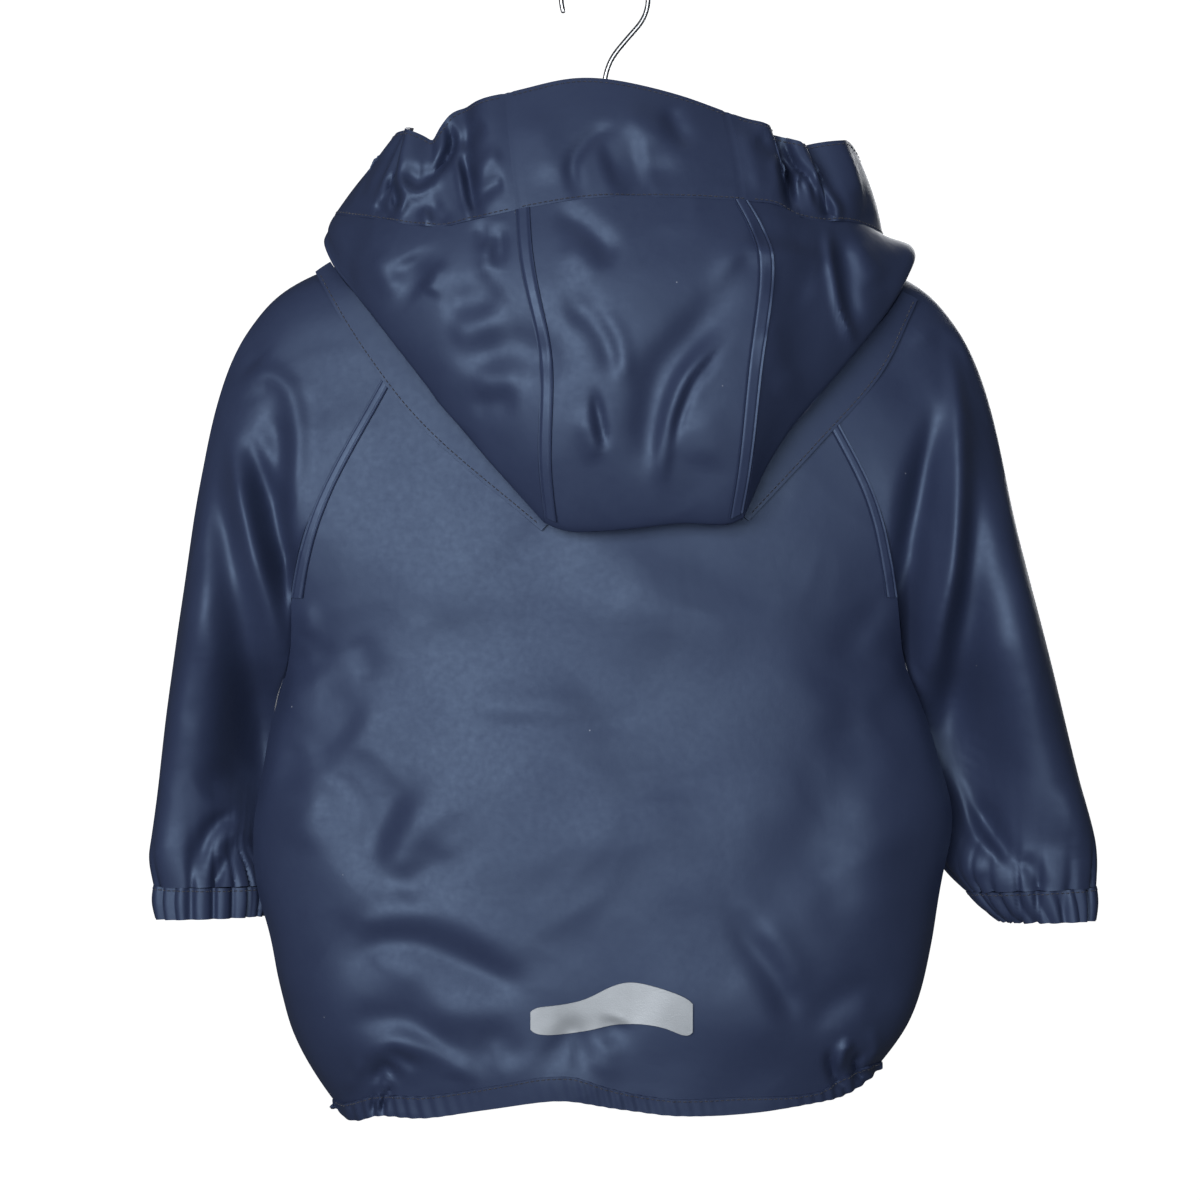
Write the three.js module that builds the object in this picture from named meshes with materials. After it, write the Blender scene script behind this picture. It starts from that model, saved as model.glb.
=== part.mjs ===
// Kids raincoat of navy coated cloth on a wooden hanger with a wire hook.
// Millimetres, +Z up. The origin is the hang point, at the inner top of the hook.
// The coat's back faces -Y and its front faces +Y; +X is the wearer's right.
import * as THREE from 'three';

// Wall thicknesses
const CLOTH = 1.6;
const BAND = 2.4;
const TRIM = 0.8;

// Gaps: at a seam between two pieces, at the side seam, and under a piece that lies on a panel
const SEAM = 0.5;
const SIDE_GAP = 0.75;
const LAY_GAP = 0.4;
// At the armpit the sleeve's wall stands beside the body's wall
const ARMPIT_GAP = CLOTH + 0.7;

// Heights of the garment's landmarks
const NECK_BACK = -164;
const NECK_SEAM = -171;
const NECK_SHOULDER = -173;
const NECK_FRONT_SEAM = -188;
const NECK_FRONT = -206;
const ARMPIT = -440;

// Half widths of the neck ring at the raglan seams and at the shoulder
const NECK_BACK_HALF = 77;
const NECK_SHOULDER_HALF = 99;
const NECK_FRONT_HALF = 75;

const TAPE_WIDTH = 7;
const PLACKET_WIDTH = 44;
const FRONT_HEM_RISE = 7;

// The body's section is a flattened dome each side of the side seam: |s|^A + |depth|^B = 1
const DOME_ACROSS = 2.2;
const DOME_DEPTH = 1.8;

const COLOURS = {
  cloth: { color: '#26314d', roughness: 0.42, metalness: 0 },
  hood: { color: '#222c46', roughness: 0.42, metalness: 0 },
  tape: { color: '#2b3654', roughness: 0.36, metalness: 0 },
  reflective: { color: '#a9abae', roughness: 0.5, metalness: 0.3 },
  snap: { color: '#20293f', roughness: 0.35, metalness: 0 },
  wood: { color: '#c49a67', roughness: 0.5, metalness: 0 },
  wire: { color: '#b9bcc0', roughness: 0.2, metalness: 1 },
};

// Gives each number of each row its column's name
function table(columns, rows) {
  const keys = columns.split(' ');
  return rows.map((row) => Object.fromEntries(keys.map((key, i) => [key, row[i]])));
}

// The body: where its lens-shaped section ends at each side, the height of that edge, and its depths
const FORM = table('z left right edge back front', [
  [-160, -88, 88, 0, 36, 34],
  [-173, -99, 99, 0, 38, 36],
  [-185, -150, 150, 0, 39, 37],
  [-194, -180, 176, 0, 40, 38],
  [-208, -203, 200, 0, 42, 40],
  [-225, -216, 214, 0, 44, 42],
  [-250, -231, 229, -1, 46, 45],
  [-282, -241, 239, -3, 48, 48],
  [-320, -247, 246, -5, 50, 51],
  [-350, -232, 226, -7, 51, 53],
  [-400, -205, 195, -9, 52, 55],
  [-440, -193, 184, -10, 52, 56],
  [-560, -216, 207, -12, 55, 58],
  [-640, -198, 194, -10, 55, 56],
  [-716, -160, 150, -8, 48, 48],
]);

// The raglan seams down to the armpit, then the side seams down to the hem
const SEAMS = table('z left right frontLeft frontRight', [
  [-171, -77, 77, -58, 58],
  [-188, -90, 88, -75, 75],
  [-232, -118, 109, -113, 107],
  [-289, -149, 140, -148, 139],
  [-337, -175, 165, -175, 165],
  [-385, -188.5, 175.5, -188.5, 175.5],
  [-440, -193, 184, -193, 184],
  [-470, -205, 197.5, -205, 197.5],
  [-519, -212.5, 211, -212.5, 211],
  [-540, -214.5, 212.3, -214.5, 212.3],
  [-560, -216, 207.5, -216, 207.5],
  [-575, -213, 205, -213, 205],
  [-602, -205, 201.5, -205, 201.5],
  [-655, -194, 188, -194, 188],
  [-681, -182, 169, -182, 169],
  [-704, -167, 158, -167, 158],
  [-716, -160, 150, -160, 150],
]);

// The hem at the back: the stitch line above the band and the band's lower edge
const HEM = table('x top bottom', [
  [-167, -704.4, -707],
  [-156, -705.4, -716.2],
  [-140, -697.5, -709],
  [-111, -697, -709],
  [-75, -690.6, -703],
  [-42, -683.4, -697],
  [-23, -681.3, -695.7],
  [-5, -687.6, -698.8],
  [14, -693, -702],
  [40, -697, -705.5],
  [81, -696.6, -705.6],
  [129, -695.3, -700],
  [150, -684, -696],
  [169, -681, -684.5],
]);

// The upper half of each sleeve: its outline, and where each row meets the two raglan seams
const SHOULDER_LEFT = table('at outerX outerZ backZ frontZ', [
  [0, -99, -173, -171, -188],
  [1, -125, -180.5, -190, -203],
  [2, -160, -188.8, -211, -219],
  [3, -194, -201.6, -232, -237],
  [4, -216, -225, -262, -265],
  [5, -230, -248, -292, -294],
  [6, -240.7, -282, -322, -323],
  [7, -247.6, -318, -352, -352],
  [8, -252.4, -345, -380, -380],
  [9, -257, -380, -410, -410],
  [10, -262, -412, -440, -440],
]);
const SHOULDER_RIGHT = table('at outerX outerZ backZ frontZ', [
  [0, 99, -173, -171, -188],
  [1, 130, -183, -190, -203],
  [2, 165, -191, -209, -219],
  [3, 192, -200, -228, -236],
  [4, 207.5, -217, -250, -258],
  [5, 224, -239.4, -278, -282],
  [6, 236, -272, -305, -308],
  [7, 244, -307, -335, -336],
  [8, 251, -345, -368, -368],
  [9, 260, -380, -402, -402],
  [10, 269, -414, -440, -440],
]);

// The lower half: outline, the underarm seam, and how far the tube swells behind and in front.
// plunge is 1 where the back of the tube slopes in behind the body, and 0 where it is round.
const ARM_LEFT = table('at outerX outerY outerZ innerX innerY innerZ back front plunge', [
  [10, -262, -5, -412, -195.3, -10, -440, 40, 42, 0.5],
  [11, -266, -4, -440, -204, 5, -462, 37, 36, 0.85],
  [12, -271, -3, -475, -203, 16, -490, 34, 29, 1],
  [13, -275, -2, -510, -203, 21, -520, 32, 25, 1],
  [14, -279.4, -1, -543, -204, 22, -548, 30, 24, 0.8],
  [15, -281.3, 0, -557, -204, 21, -560, 28, 23, 0.4],
  [16, -277.5, 0, -572.5, -206, 20, -573.5, 24, 20, 0],
]);
const ARM_RIGHT = table('at outerX outerY outerZ innerX innerY innerZ back front plunge', [
  [10, 269, -5, -414, 186.3, -10, -440, 42, 44, 0.5],
  [11, 276.5, -4, -443, 196, 5, -462, 40, 38, 0.85],
  [12, 285, -3, -478, 200, 16, -490, 37, 32, 1],
  [13, 293, -2, -510, 204, 21, -520, 35, 28, 1],
  [14, 302, -1, -541, 206, 22, -547, 33, 26, 0.8],
  [15, 304, 0, -559, 210, 21, -562, 30, 24, 0.4],
  [16, 302.5, 0, -573, 226, 19, -576.5, 25, 21, 0],
]);

// The elasticated cuffs, at their upper and lower edges
const CUFF_LEFT = table('at outerX outerZ innerX innerZ', [
  [0, -276.5, -573.8, -205.5, -575],
  [0.5, -278, -583, -204.5, -583],
  [1, -275.5, -593, -207.5, -592],
]);
const CUFF_RIGHT = table('at outerX outerZ innerX innerZ', [
  [0, 301, -574.4, 228, -578],
  [0.5, 302.5, -584, 236, -588],
  [1, 301, -594, 247, -595.5],
]);
const CUFF_DEPTH = 23;
const CUFF_WAVES = 18;
const CUFF_COLUMNS = CUFF_WAVES * 4;
const CUFF_WAVE_HEIGHT = 1.2;

// The dropped hood, one row for each direction around the neck, 0 at the centre back:
// the tip of its lower fold, the stitch line under the brim, and the brim's free edge
const HOOD = table('turn foldX foldY foldZ stitchX stitchZ brimX brimZ', [
  [-165, -24, 60, -212, -26, -190, -27, -172],
  [-130, -86, 58, -208, -92, -182, -84, -150],
  [-100, -150, 26, -196, -150, -168, -122, -124],
  [-80, -171, -12, -190, -166, -161, -129, -119],
  [-64, -158, -38, -205, -149, -165, -123, -113],
  [-50, -146, -52, -220, -131, -169, -122, -112],
  [-41, -121, -60, -252, -113, -173, -112, -117],
  [-33, -96, -66, -284, -96, -175, -102, -122],
  [-30.5, -86, -68, -296, -90, -174, -99, -106],
  [-27, -71, -71, -312, -81, -172, -90, -103],
  [-17, -36, -76, -352, -53, -166, -60, -95],
  [0, 0, -77, -357, -5, -159, -12, -86],
  [16, 48, -76, -352, 48, -159, 40, -95],
  [28, 82, -73, -349, 85, -160, 76, -106],
  [36, 103, -66, -304, 103, -161, 93, -111],
  [44, 128, -60, -277, 118, -168, 107, -116],
  [52, 153, -51, -247, 133, -169, 119, -123],
  [62, 170, -40, -226, 150, -168, 136, -119],
  [76, 182, -18, -206, 165, -171, 151, -119],
  [92, 183, 6, -200, 172, -175, 158, -137],
  [112, 150, 40, -203, 150, -176, 135, -146],
  [135, 86, 58, -208, 92, -184, 82, -160],
  [165, 24, 60, -212, 26, -190, 26, -174],
]);
const HOOD_LIFT = 6.5;
const HOOD_FOLD_RADIUS = 5;
const HOOD_SWELL = 0.1;
const HOOD_SEAM_LEFT = -17;
const HOOD_SEAM_RIGHT = 28;
const HOOD_END = 165;
// Depths of the stitch line and the brim edge behind and in front of the neck
const STITCH_BACK = 88;
const STITCH_FRONT = 58;
const BRIM_BACK = 66;
const BRIM_FRONT = 60;

// How the two hood seams sway off a straight line: direction, share of the way up, shift, spread
const HOOD_SWAY = table('turn up shift spread', [
  [-17, 0.5, 12, 14],
  [28, 0.84, 13, 10],
]);

// The brim's gathers, each a fold that runs from the stitch line to the free edge
const BRIM_FOLDS = table('turn width depth', [
  [-68, 4, 4],
  [-60, 3.2, -4],
  [-52, 3, -9],
  [-44, 3.4, 5],
  [-36, 3, -3],
  [-27, 3, -11],
  [-21, 3, 4],
  [37, 3, 4],
  [44, 3, -12],
  [50, 2.8, 7],
  [56, 2.8, -7],
  [66, 4, 4],
]);
// Shares of the brim's columns against direction, close together where it is gathered
const BRIM_LEFT_STEPS = table('share turn', [
  [0, -165],
  [0.22, -85],
  [0.3, -72],
  [1, -17],
]);
const BRIM_RIGHT_STEPS = table('share turn', [
  [0, 28],
  [0.68, 72],
  [0.78, 88],
  [1, 165],
]);

// The flat bands along the hood's lower sides: outer edge, from the shoulder to the middle
const BAND_LEFT = table('at x z', [
  [0, -176, -198],
  [0.3, -147, -246],
  [0.62, -108, -295],
  [1, -38, -355],
]);
const BAND_RIGHT = table('at x z', [
  [0, 190, -214],
  [0.3, 167, -260],
  [0.62, 130, -302],
  [1, 86, -349],
]);
const HOOD_BAND_WIDTH = 22;
const HOOD_BAND_LIFT = 4.2;

// The reflective strip low on the back: its upper and lower edges
const REFLECTOR = table('x top bottom', [
  [-44.6, -643.5, -654],
  [-42, -640.8, -656.8],
  [-27, -639.5, -657.4],
  [-8, -635, -654.5],
  [10, -625, -650.5],
  [34, -629.4, -652],
  [49, -635, -658.6],
  [52.4, -638.5, -655.5],
]);

// The largest folds, as strokes seen from behind: ends, half width and height off the surface
const BACK_FOLDS = table('x1 z1 x2 z2 width height', [
  [-186, -455, -120, -560, 13, -3.5],
  [-196, -500, -140, -590, 15, 4],
  [-126, -494, -156, -585, 16, -4.5],
  [-105, -520, -135, -600, 18, 3.5],
  [176, -452, 120, -545, 13, -3.5],
  [190, -505, 130, -590, 16, 4],
  [30, -390, 120, -430, 26, 3],
  [-60, -420, 40, -470, 26, -2.5],
  [-16, -692, -14, -664, 17, -3],
  [-152, -640, -120, -670, 34, 7],
  [60, -640, 150, -660, 30, 4],
  [-138, -700, -110, -640, 12, -5],
  [148, -684, 120, -640, 12, -5],
]);
const FRONT_FOLDS = table('x1 z1 x2 z2 width height', [
  [-182, -460, -110, -560, 15, -4],
  [176, -460, 110, -560, 15, -4],
  [-180, -520, -90, -620, 20, 4],
  [178, -520, 90, -620, 20, 4],
  [-140, -700, -110, -640, 13, -5],
  [146, -686, 112, -636, 13, -5],
]);
const SLEEVE_LEFT_FOLDS = table('x1 z1 x2 z2 width height', [
  [-224, -240, -236, -312, 12, -4],
  [-236, -312, -226, -360, 13, -4],
  [-212, -305, -197, -380, 13, -7],
  [-197, -380, -198, -440, 13, -6],
  [-232, -300, -216, -380, 14, 4],
  [-246, -400, -240, -520, 16, 4],
  [-262, -520, -232, -556, 15, -4],
]);
const SLEEVE_RIGHT_FOLDS = table('x1 z1 x2 z2 width height', [
  [202, -325, 188, -440, 13, -7],
  [216, -270, 204, -430, 13, 5],
  [228, -310, 230, -400, 13, -6],
  [230, -400, 226, -520, 14, -7],
  [250, -420, 262, -530, 16, 4],
  [240, -530, 285, -545, 13, -4],
]);

// Grid counts
const ROWS_ABOVE_ARMPIT = 12;
const ROWS_BELOW_ARMPIT = 12;
const PANEL_ROWS = ROWS_ABOVE_ARMPIT + ROWS_BELOW_ARMPIT;
const BACK_COLUMNS = 20;
const FRONT_COLUMNS = 9;
const ARM_ROWS = 10;
const SLEEVE_BACK_COLUMNS = 12;
const SLEEVE_FRONT_COLUMNS = 8;

const RAD = Math.PI / 180;
const vec = (x, y, z) => new THREE.Vector3(x, y, z);
const mix = (a, b, t) => a + (b - a) * t;
const step = (t) => {
  const c = Math.min(1, Math.max(0, t));
  return c * c * (3 - 2 * c);
};

// Reads one column of a table at a place along another, on a smooth curve through its rows
function read(rows, by, at, key) {
  const last = rows.length - 1;
  const way = rows[last][by] < rows[0][by] ? -1 : 1;
  if (way * (at - rows[0][by]) <= 0) return rows[0][key];
  if (way * (at - rows[last][by]) >= 0) return rows[last][key];
  let k = 0;
  while (way * (at - rows[k + 1][by]) > 0) k += 1;
  const slope = (i) => {
    const a = rows[Math.max(0, i - 1)];
    const b = rows[Math.min(last, i + 1)];
    return (b[key] - a[key]) / (b[by] - a[by]);
  };
  const span = rows[k + 1][by] - rows[k][by];
  const t = (at - rows[k][by]) / span;
  const ease = t * t * (3 - 2 * t);
  const out = t * (1 - t) * (1 - t) * slope(k) - t * t * (1 - t) * slope(k + 1);
  return mix(rows[k][key], rows[k + 1][key], ease) + span * out;
}

// Reads a column on straight lines between the rows
function readStraight(rows, by, at, key) {
  let k = 0;
  while (k < rows.length - 2 && at > rows[k + 1][by]) k += 1;
  const t = (at - rows[k][by]) / (rows[k + 1][by] - rows[k][by]);
  return mix(rows[k][key], rows[k + 1][key], t);
}

// How much a set of fold strokes lifts a point at x, z
function foldHeight(folds, x, z) {
  let height = 0;
  for (const fold of folds) {
    const dx = fold.x2 - fold.x1;
    const dz = fold.z2 - fold.z1;
    const length2 = dx * dx + dz * dz;
    const t = Math.min(1, Math.max(0, ((x - fold.x1) * dx + (z - fold.z1) * dz) / length2));
    const away = Math.hypot(x - fold.x1 - t * dx, z - fold.z1 - t * dz);
    height += fold.height * Math.exp(-((away / fold.width) ** 2));
  }
  return height;
}

// The side of the body's section: its ends, edge and depth at a height
function bodySection(z) {
  const low = z < ARMPIT;
  return {
    left: read(low ? SEAMS : FORM, 'z', z, 'left'),
    right: read(low ? SEAMS : FORM, 'z', z, 'right'),
    edge: read(FORM, 'z', z, 'edge'),
    back: read(FORM, 'z', z, 'back'),
    front: read(FORM, 'z', z, 'front'),
  };
}

function dome(s) {
  return (1 - Math.min(1, Math.abs(s)) ** DOME_ACROSS) ** (1 / DOME_DEPTH);
}

// The middle of the body's wall at x, z; side is -1 on the back and 1 on the front
function bodyY(x, z, side, ends) {
  const section = bodySection(z);
  const left = ends ? ends.left : section.left;
  const right = ends ? ends.right : section.right;
  const s = (x - (left + right) / 2) / ((right - left) / 2);
  const depth = side < 0 ? section.back : section.front;
  return section.edge + side * (SIDE_GAP + depth * dome(s));
}

// How far a point lies outside the body, and which way is out
const PROBE = 0.5;
function outside(point) {
  const level = (x, y, z) => {
    const section = bodySection(z);
    const s = (x - (section.left + section.right) / 2) / ((section.right - section.left) / 2);
    const depth = y < section.edge ? section.back : section.front;
    const t = (y - section.edge) / depth;
    return Math.sqrt(Math.abs(s) ** DOME_ACROSS + Math.abs(t) ** DOME_DEPTH);
  };
  const { x, y, z } = point;
  const slope = (dx, dy, dz) => {
    const rise = level(x + dx, y + dy, z + dz) - level(x - dx, y - dy, z - dz);
    return rise / (2 * PROBE);
  };
  const way = vec(slope(PROBE, 0, 0), slope(0, PROBE, 0), slope(0, 0, PROBE));
  const distance = (level(x, y, z) - 1) / way.length();
  return { distance, way: way.normalize() };
}

// Moves a point out until it is clear of the body by a height
const CLEARING_PASSES = 4;
function clearOfBody(point, height) {
  const moved = point.clone();
  for (let i = 0; i < CLEARING_PASSES; i += 1) {
    const { distance, way } = outside(moved);
    if (distance < height) moved.addScaledVector(way, height - distance);
  }
  return moved;
}

// Normals of a grid of points; round says that its columns close on themselves
function gridNormals(grid, round) {
  const rows = grid.length;
  const columns = grid[0].length;
  return grid.map((row, i) => row.map((_, j) => {
    const before = round ? (j + columns - 1) % columns : Math.max(0, j - 1);
    const after = round ? (j + 1) % columns : Math.min(columns - 1, j + 1);
    const across = row[after].clone().sub(row[before]);
    const down = grid[Math.min(rows - 1, i + 1)][j].clone().sub(grid[Math.max(0, i - 1)][j]);
    return across.cross(down).normalize();
  }));
}

// A grid of points moved along its normals by a height that may change from point to point
function lifted(grid, heightAt, round) {
  const normals = gridNormals(grid, round);
  return grid.map((row, i) => row.map((p, j) => {
    const height = typeof heightAt === 'number' ? heightAt : heightAt(p, i, j);
    return p.clone().addScaledVector(normals[i][j], height);
  }));
}

// A closed wall of even thickness about a grid of points
function wall(grid, thickness, round = false) {
  const rows = grid.length;
  const columns = grid[0].length;
  const skins = [lifted(grid, thickness / 2, round), lifted(grid, -thickness / 2, round)];
  const positions = [];
  skins.forEach((skin) => skin.forEach((row) => row.forEach((p) => positions.push(p.x, p.y, p.z))));
  const at = (skin, i, j) => (skin * rows + i) * columns + (j % columns);
  const faces = [];
  const quad = (a, b, c, d) => faces.push(a, b, c, a, c, d);
  const spans = round ? columns : columns - 1;
  for (let i = 0; i < rows - 1; i += 1) {
    for (let j = 0; j < spans; j += 1) {
      quad(at(0, i, j), at(0, i, j + 1), at(0, i + 1, j + 1), at(0, i + 1, j));
      quad(at(1, i, j), at(1, i + 1, j), at(1, i + 1, j + 1), at(1, i, j + 1));
    }
  }
  for (let j = 0; j < spans; j += 1) {
    quad(at(0, 0, j), at(1, 0, j), at(1, 0, j + 1), at(0, 0, j + 1));
    quad(at(0, rows - 1, j), at(0, rows - 1, j + 1), at(1, rows - 1, j + 1), at(1, rows - 1, j));
  }
  if (!round) {
    const end = columns - 1;
    for (let i = 0; i < rows - 1; i += 1) {
      quad(at(0, i, 0), at(0, i + 1, 0), at(1, i + 1, 0), at(1, i, 0));
      quad(at(0, i, end), at(1, i, end), at(1, i + 1, end), at(0, i + 1, end));
    }
  }
  return solid(positions, faces);
}

// An indexed geometry whose faces point outwards
function solid(positions, faces) {
  let volume = 0;
  const p = (i) => vec(positions[3 * i], positions[3 * i + 1], positions[3 * i + 2]);
  for (let f = 0; f < faces.length; f += 3) {
    volume += p(faces[f]).dot(p(faces[f + 1]).cross(p(faces[f + 2])));
  }
  if (volume < 0) {
    for (let f = 0; f < faces.length; f += 3) {
      [faces[f + 1], faces[f + 2]] = [faces[f + 2], faces[f + 1]];
    }
  }
  const geometry = new THREE.BufferGeometry();
  geometry.setAttribute('position', new THREE.Float32BufferAttribute(positions, 3));
  geometry.setIndex(faces);
  geometry.computeVertexNormals();
  return geometry;
}

const coat = new THREE.Group();
coat.name = 'kids_raincoat';

function add(name, geometry, look) {
  const mesh = new THREE.Mesh(geometry, new THREE.MeshStandardMaterial(COLOURS[look]));
  mesh.name = name;
  coat.add(mesh);
}

// The neck ring: the height of the back and front panels' upper edges
const neckBackZ = (x) => mix(NECK_BACK, NECK_SEAM, (x / NECK_BACK_HALF) ** 2);
const neckFrontZ = (x) => mix(NECK_FRONT, NECK_FRONT_SEAM, (x / NECK_FRONT_HALF) ** 2);

// Shares that run closer together towards 1, and how strongly they do so on the back and the fronts
const eased = (u, strength) => mix(u, Math.sin((u * Math.PI) / 2), strength);
const BACK_EASE = 0.35;
const FRONT_EASE_MIDDLE = 0.45;
const FRONT_EASE_SIDE = 0.4;

// Shares across the back panel, closer together towards both seams
const backShare = (u) => (1 + eased(2 * u - 1, BACK_EASE)) / 2;

// Shares across a front panel, closer together towards its side
const frontShare = (u) => 1 - eased(1 - eased(u, FRONT_EASE_MIDDLE), FRONT_EASE_SIDE);

// The height of a panel's side edge at one of its rows, with a row at the armpit itself
function seamZ(row, top, hem) {
  if (row <= ROWS_ABOVE_ARMPIT) return mix(top, ARMPIT, row / ROWS_ABOVE_ARMPIT);
  return mix(ARMPIT, hem, (row - ROWS_ABOVE_ARMPIT) / ROWS_BELOW_ARMPIT);
}

// The share of the way from the top edge to the hem at one of a panel's rows and columns
function rowShare(row, top, hem) {
  return (seamZ(row, top, hem) - top) / (hem - top);
}

// The back panel, with its outermost columns one tape's width in from the seams
function backGrid() {
  const grid = [];
  const hemEnds = [HEM[0].top, HEM[HEM.length - 1].top];
  for (let i = 0; i <= PANEL_ROWS; i += 1) {
    const left = read(SEAMS, 'z', seamZ(i, NECK_SEAM, hemEnds[0]), 'left');
    const right = read(SEAMS, 'z', seamZ(i, NECK_SEAM, hemEnds[1]), 'right');
    const row = [];
    for (let j = 0; j <= BACK_COLUMNS; j += 1) {
      let u = backShare(j / BACK_COLUMNS);
      if (j === 1) u = TAPE_WIDTH / (right - left);
      if (j === BACK_COLUMNS - 1) u = 1 - TAPE_WIDTH / (right - left);
      const x = mix(left, right, u);
      const topZ = neckBackZ(mix(-NECK_BACK_HALF, NECK_BACK_HALF, u));
      const hemZ = read(HEM, 'x', mix(HEM[0].x, HEM[HEM.length - 1].x, u), 'top');
      const v = mix(rowShare(i, NECK_SEAM, hemEnds[0]), rowShare(i, NECK_SEAM, hemEnds[1]), u);
      const z = mix(topZ, hemZ, v);
      row.push(vec(x, bodyY(x, z, -1), z));
    }
    grid.push(row);
  }
  return grid;
}

// The height of the lower edge of the fronts, which rises a little towards the middle
function frontHemZ(x, key) {
  const share = (x - HEM[0].x) / (HEM[HEM.length - 1].x - HEM[0].x);
  return read(HEM, 'x', x, key) + FRONT_HEM_RISE * Math.sqrt(Math.max(0, Math.sin(Math.PI * share)));
}

// One front panel, from its side (u = 0) to the middle (u = 1)
function frontGrid(way) {
  const key = way < 0 ? 'frontLeft' : 'frontRight';
  const hemEnd = HEM[way < 0 ? 0 : HEM.length - 1];
  const grid = [];
  for (let i = 0; i <= PANEL_ROWS; i += 1) {
    const v = rowShare(i, NECK_FRONT_SEAM, hemEnd.top);
    const side = read(SEAMS, 'z', seamZ(i, NECK_FRONT_SEAM, hemEnd.top), key);
    const middle = (way * SEAM) / 2;
    const row = [];
    for (let j = 0; j <= FRONT_COLUMNS; j += 1) {
      let u = frontShare(j / FRONT_COLUMNS);
      if (j === 0) u = 0;
      if (j === 1) u = TAPE_WIDTH / Math.abs(side);
      const x = mix(side, middle, u);
      const topZ = neckFrontZ(mix(way * NECK_FRONT_HALF, 0, u));
      const hemZ = frontHemZ(mix(hemEnd.x, 0, u), 'top');
      const z = mix(topZ, hemZ, v);
      row.push(vec(x, bodyY(x, z, 1), z));
    }
    grid.push(row);
  }
  return grid;
}

// 1 where a grid's normals point to the given side along Y, and -1 where they point away from it
function outwardSign(grid, side) {
  const i = Math.floor(grid.length / 2);
  const j = Math.floor(grid[0].length / 2);
  return Math.sign(gridNormals(grid)[i][j].y) * side;
}

// Folds fade out over a panel's last rows and columns, so that the seams still meet
const FADE_ROWS = 2;
const FADE_COLUMNS = 1.5;
function withFolds(grid, folds, side) {
  const outwards = outwardSign(grid, side);
  const rows = grid.length - 1;
  const columns = grid[0].length - 1;
  return lifted(grid, (p, i, j) => {
    const fromRows = Math.min(i, rows - i) / FADE_ROWS;
    const fromColumns = Math.min(j, columns - j) / FADE_COLUMNS;
    return outwards * foldHeight(folds, p.x, p.z) * step(Math.min(fromRows, fromColumns));
  });
}

const back = withFolds(backGrid(), BACK_FOLDS, -1);
const frontLeft = withFolds(frontGrid(-1), FRONT_FOLDS, 1);
const frontRight = withFolds(frontGrid(1), FRONT_FOLDS, 1);

add('back_panel', wall(back, CLOTH), 'cloth');
add('front_left', wall(frontLeft, CLOTH), 'cloth');
add('front_right', wall(frontRight, CLOTH), 'cloth');

// A strip cut from a panel's own points and moved off it
function layOn(grid, side, rowRange, columnRange, thickness, gap) {
  const normals = gridNormals(grid);
  const lift = outwardSign(grid, side) * (CLOTH / 2 + gap + thickness / 2);
  const rows = [];
  for (let i = rowRange[0]; i <= rowRange[1]; i += 1) {
    const row = [];
    for (let j = columnRange[0]; j <= columnRange[1]; j += 1) {
      row.push(grid[i][j].clone().addScaledVector(normals[i][j], lift));
    }
    rows.push(row);
  }
  return wall(rows, thickness);
}

// Raglan seam tapes, on the body's side of each raglan seam from the neck to just above the armpit
const TAPE_ROWS = [0, ROWS_ABOVE_ARMPIT - 2];
add('raglan_tape_back_left', layOn(back, -1, TAPE_ROWS, [0, 1], TRIM, LAY_GAP), 'tape');
add('raglan_tape_back_right',
  layOn(back, -1, TAPE_ROWS, [BACK_COLUMNS - 1, BACK_COLUMNS], TRIM, LAY_GAP), 'tape');
add('raglan_tape_front_left', layOn(frontLeft, 1, TAPE_ROWS, [0, 1], TRIM, LAY_GAP), 'tape');
add('raglan_tape_front_right', layOn(frontRight, 1, TAPE_ROWS, [0, 1], TRIM, LAY_GAP), 'tape');

// A hem band that hangs from a panel's last row, with two columns for each of the panel's
const HEM_GAP = 0.9;
const HEM_STANDS_OUT = 0.3;
const HEM_LEAST_HEIGHT = 2.5;
function hemBand(panel, bottomAt, side) {
  const edge = panel[panel.length - 1];
  const upper = [];
  edge.forEach((p, j) => {
    upper.push(p);
    if (j < edge.length - 1) upper.push(p.clone().lerp(edge[j + 1], 0.5));
  });
  const top = upper.map((p) => vec(p.x, p.y + side * HEM_STANDS_OUT, p.z - HEM_GAP));
  const bottom = upper.map((p) => {
    const z = Math.min(bottomAt(p.x), p.z - HEM_GAP - HEM_LEAST_HEIGHT);
    return vec(p.x, bodyY(p.x, z, side) + side * HEM_STANDS_OUT, z);
  });
  const middle = top.map((p, j) => p.clone().lerp(bottom[j], 0.5));
  return wall([top, middle, bottom], BAND);
}
const backHemZ = (x) => read(HEM, 'x', x, 'bottom');
add('hem_back', hemBand(back, backHemZ, -1), 'cloth');
add('hem_front_left', hemBand(frontLeft, (x) => frontHemZ(x, 'bottom'), 1), 'cloth');
add('hem_front_right', hemBand(frontRight, (x) => frontHemZ(x, 'bottom'), 1), 'cloth');

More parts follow.
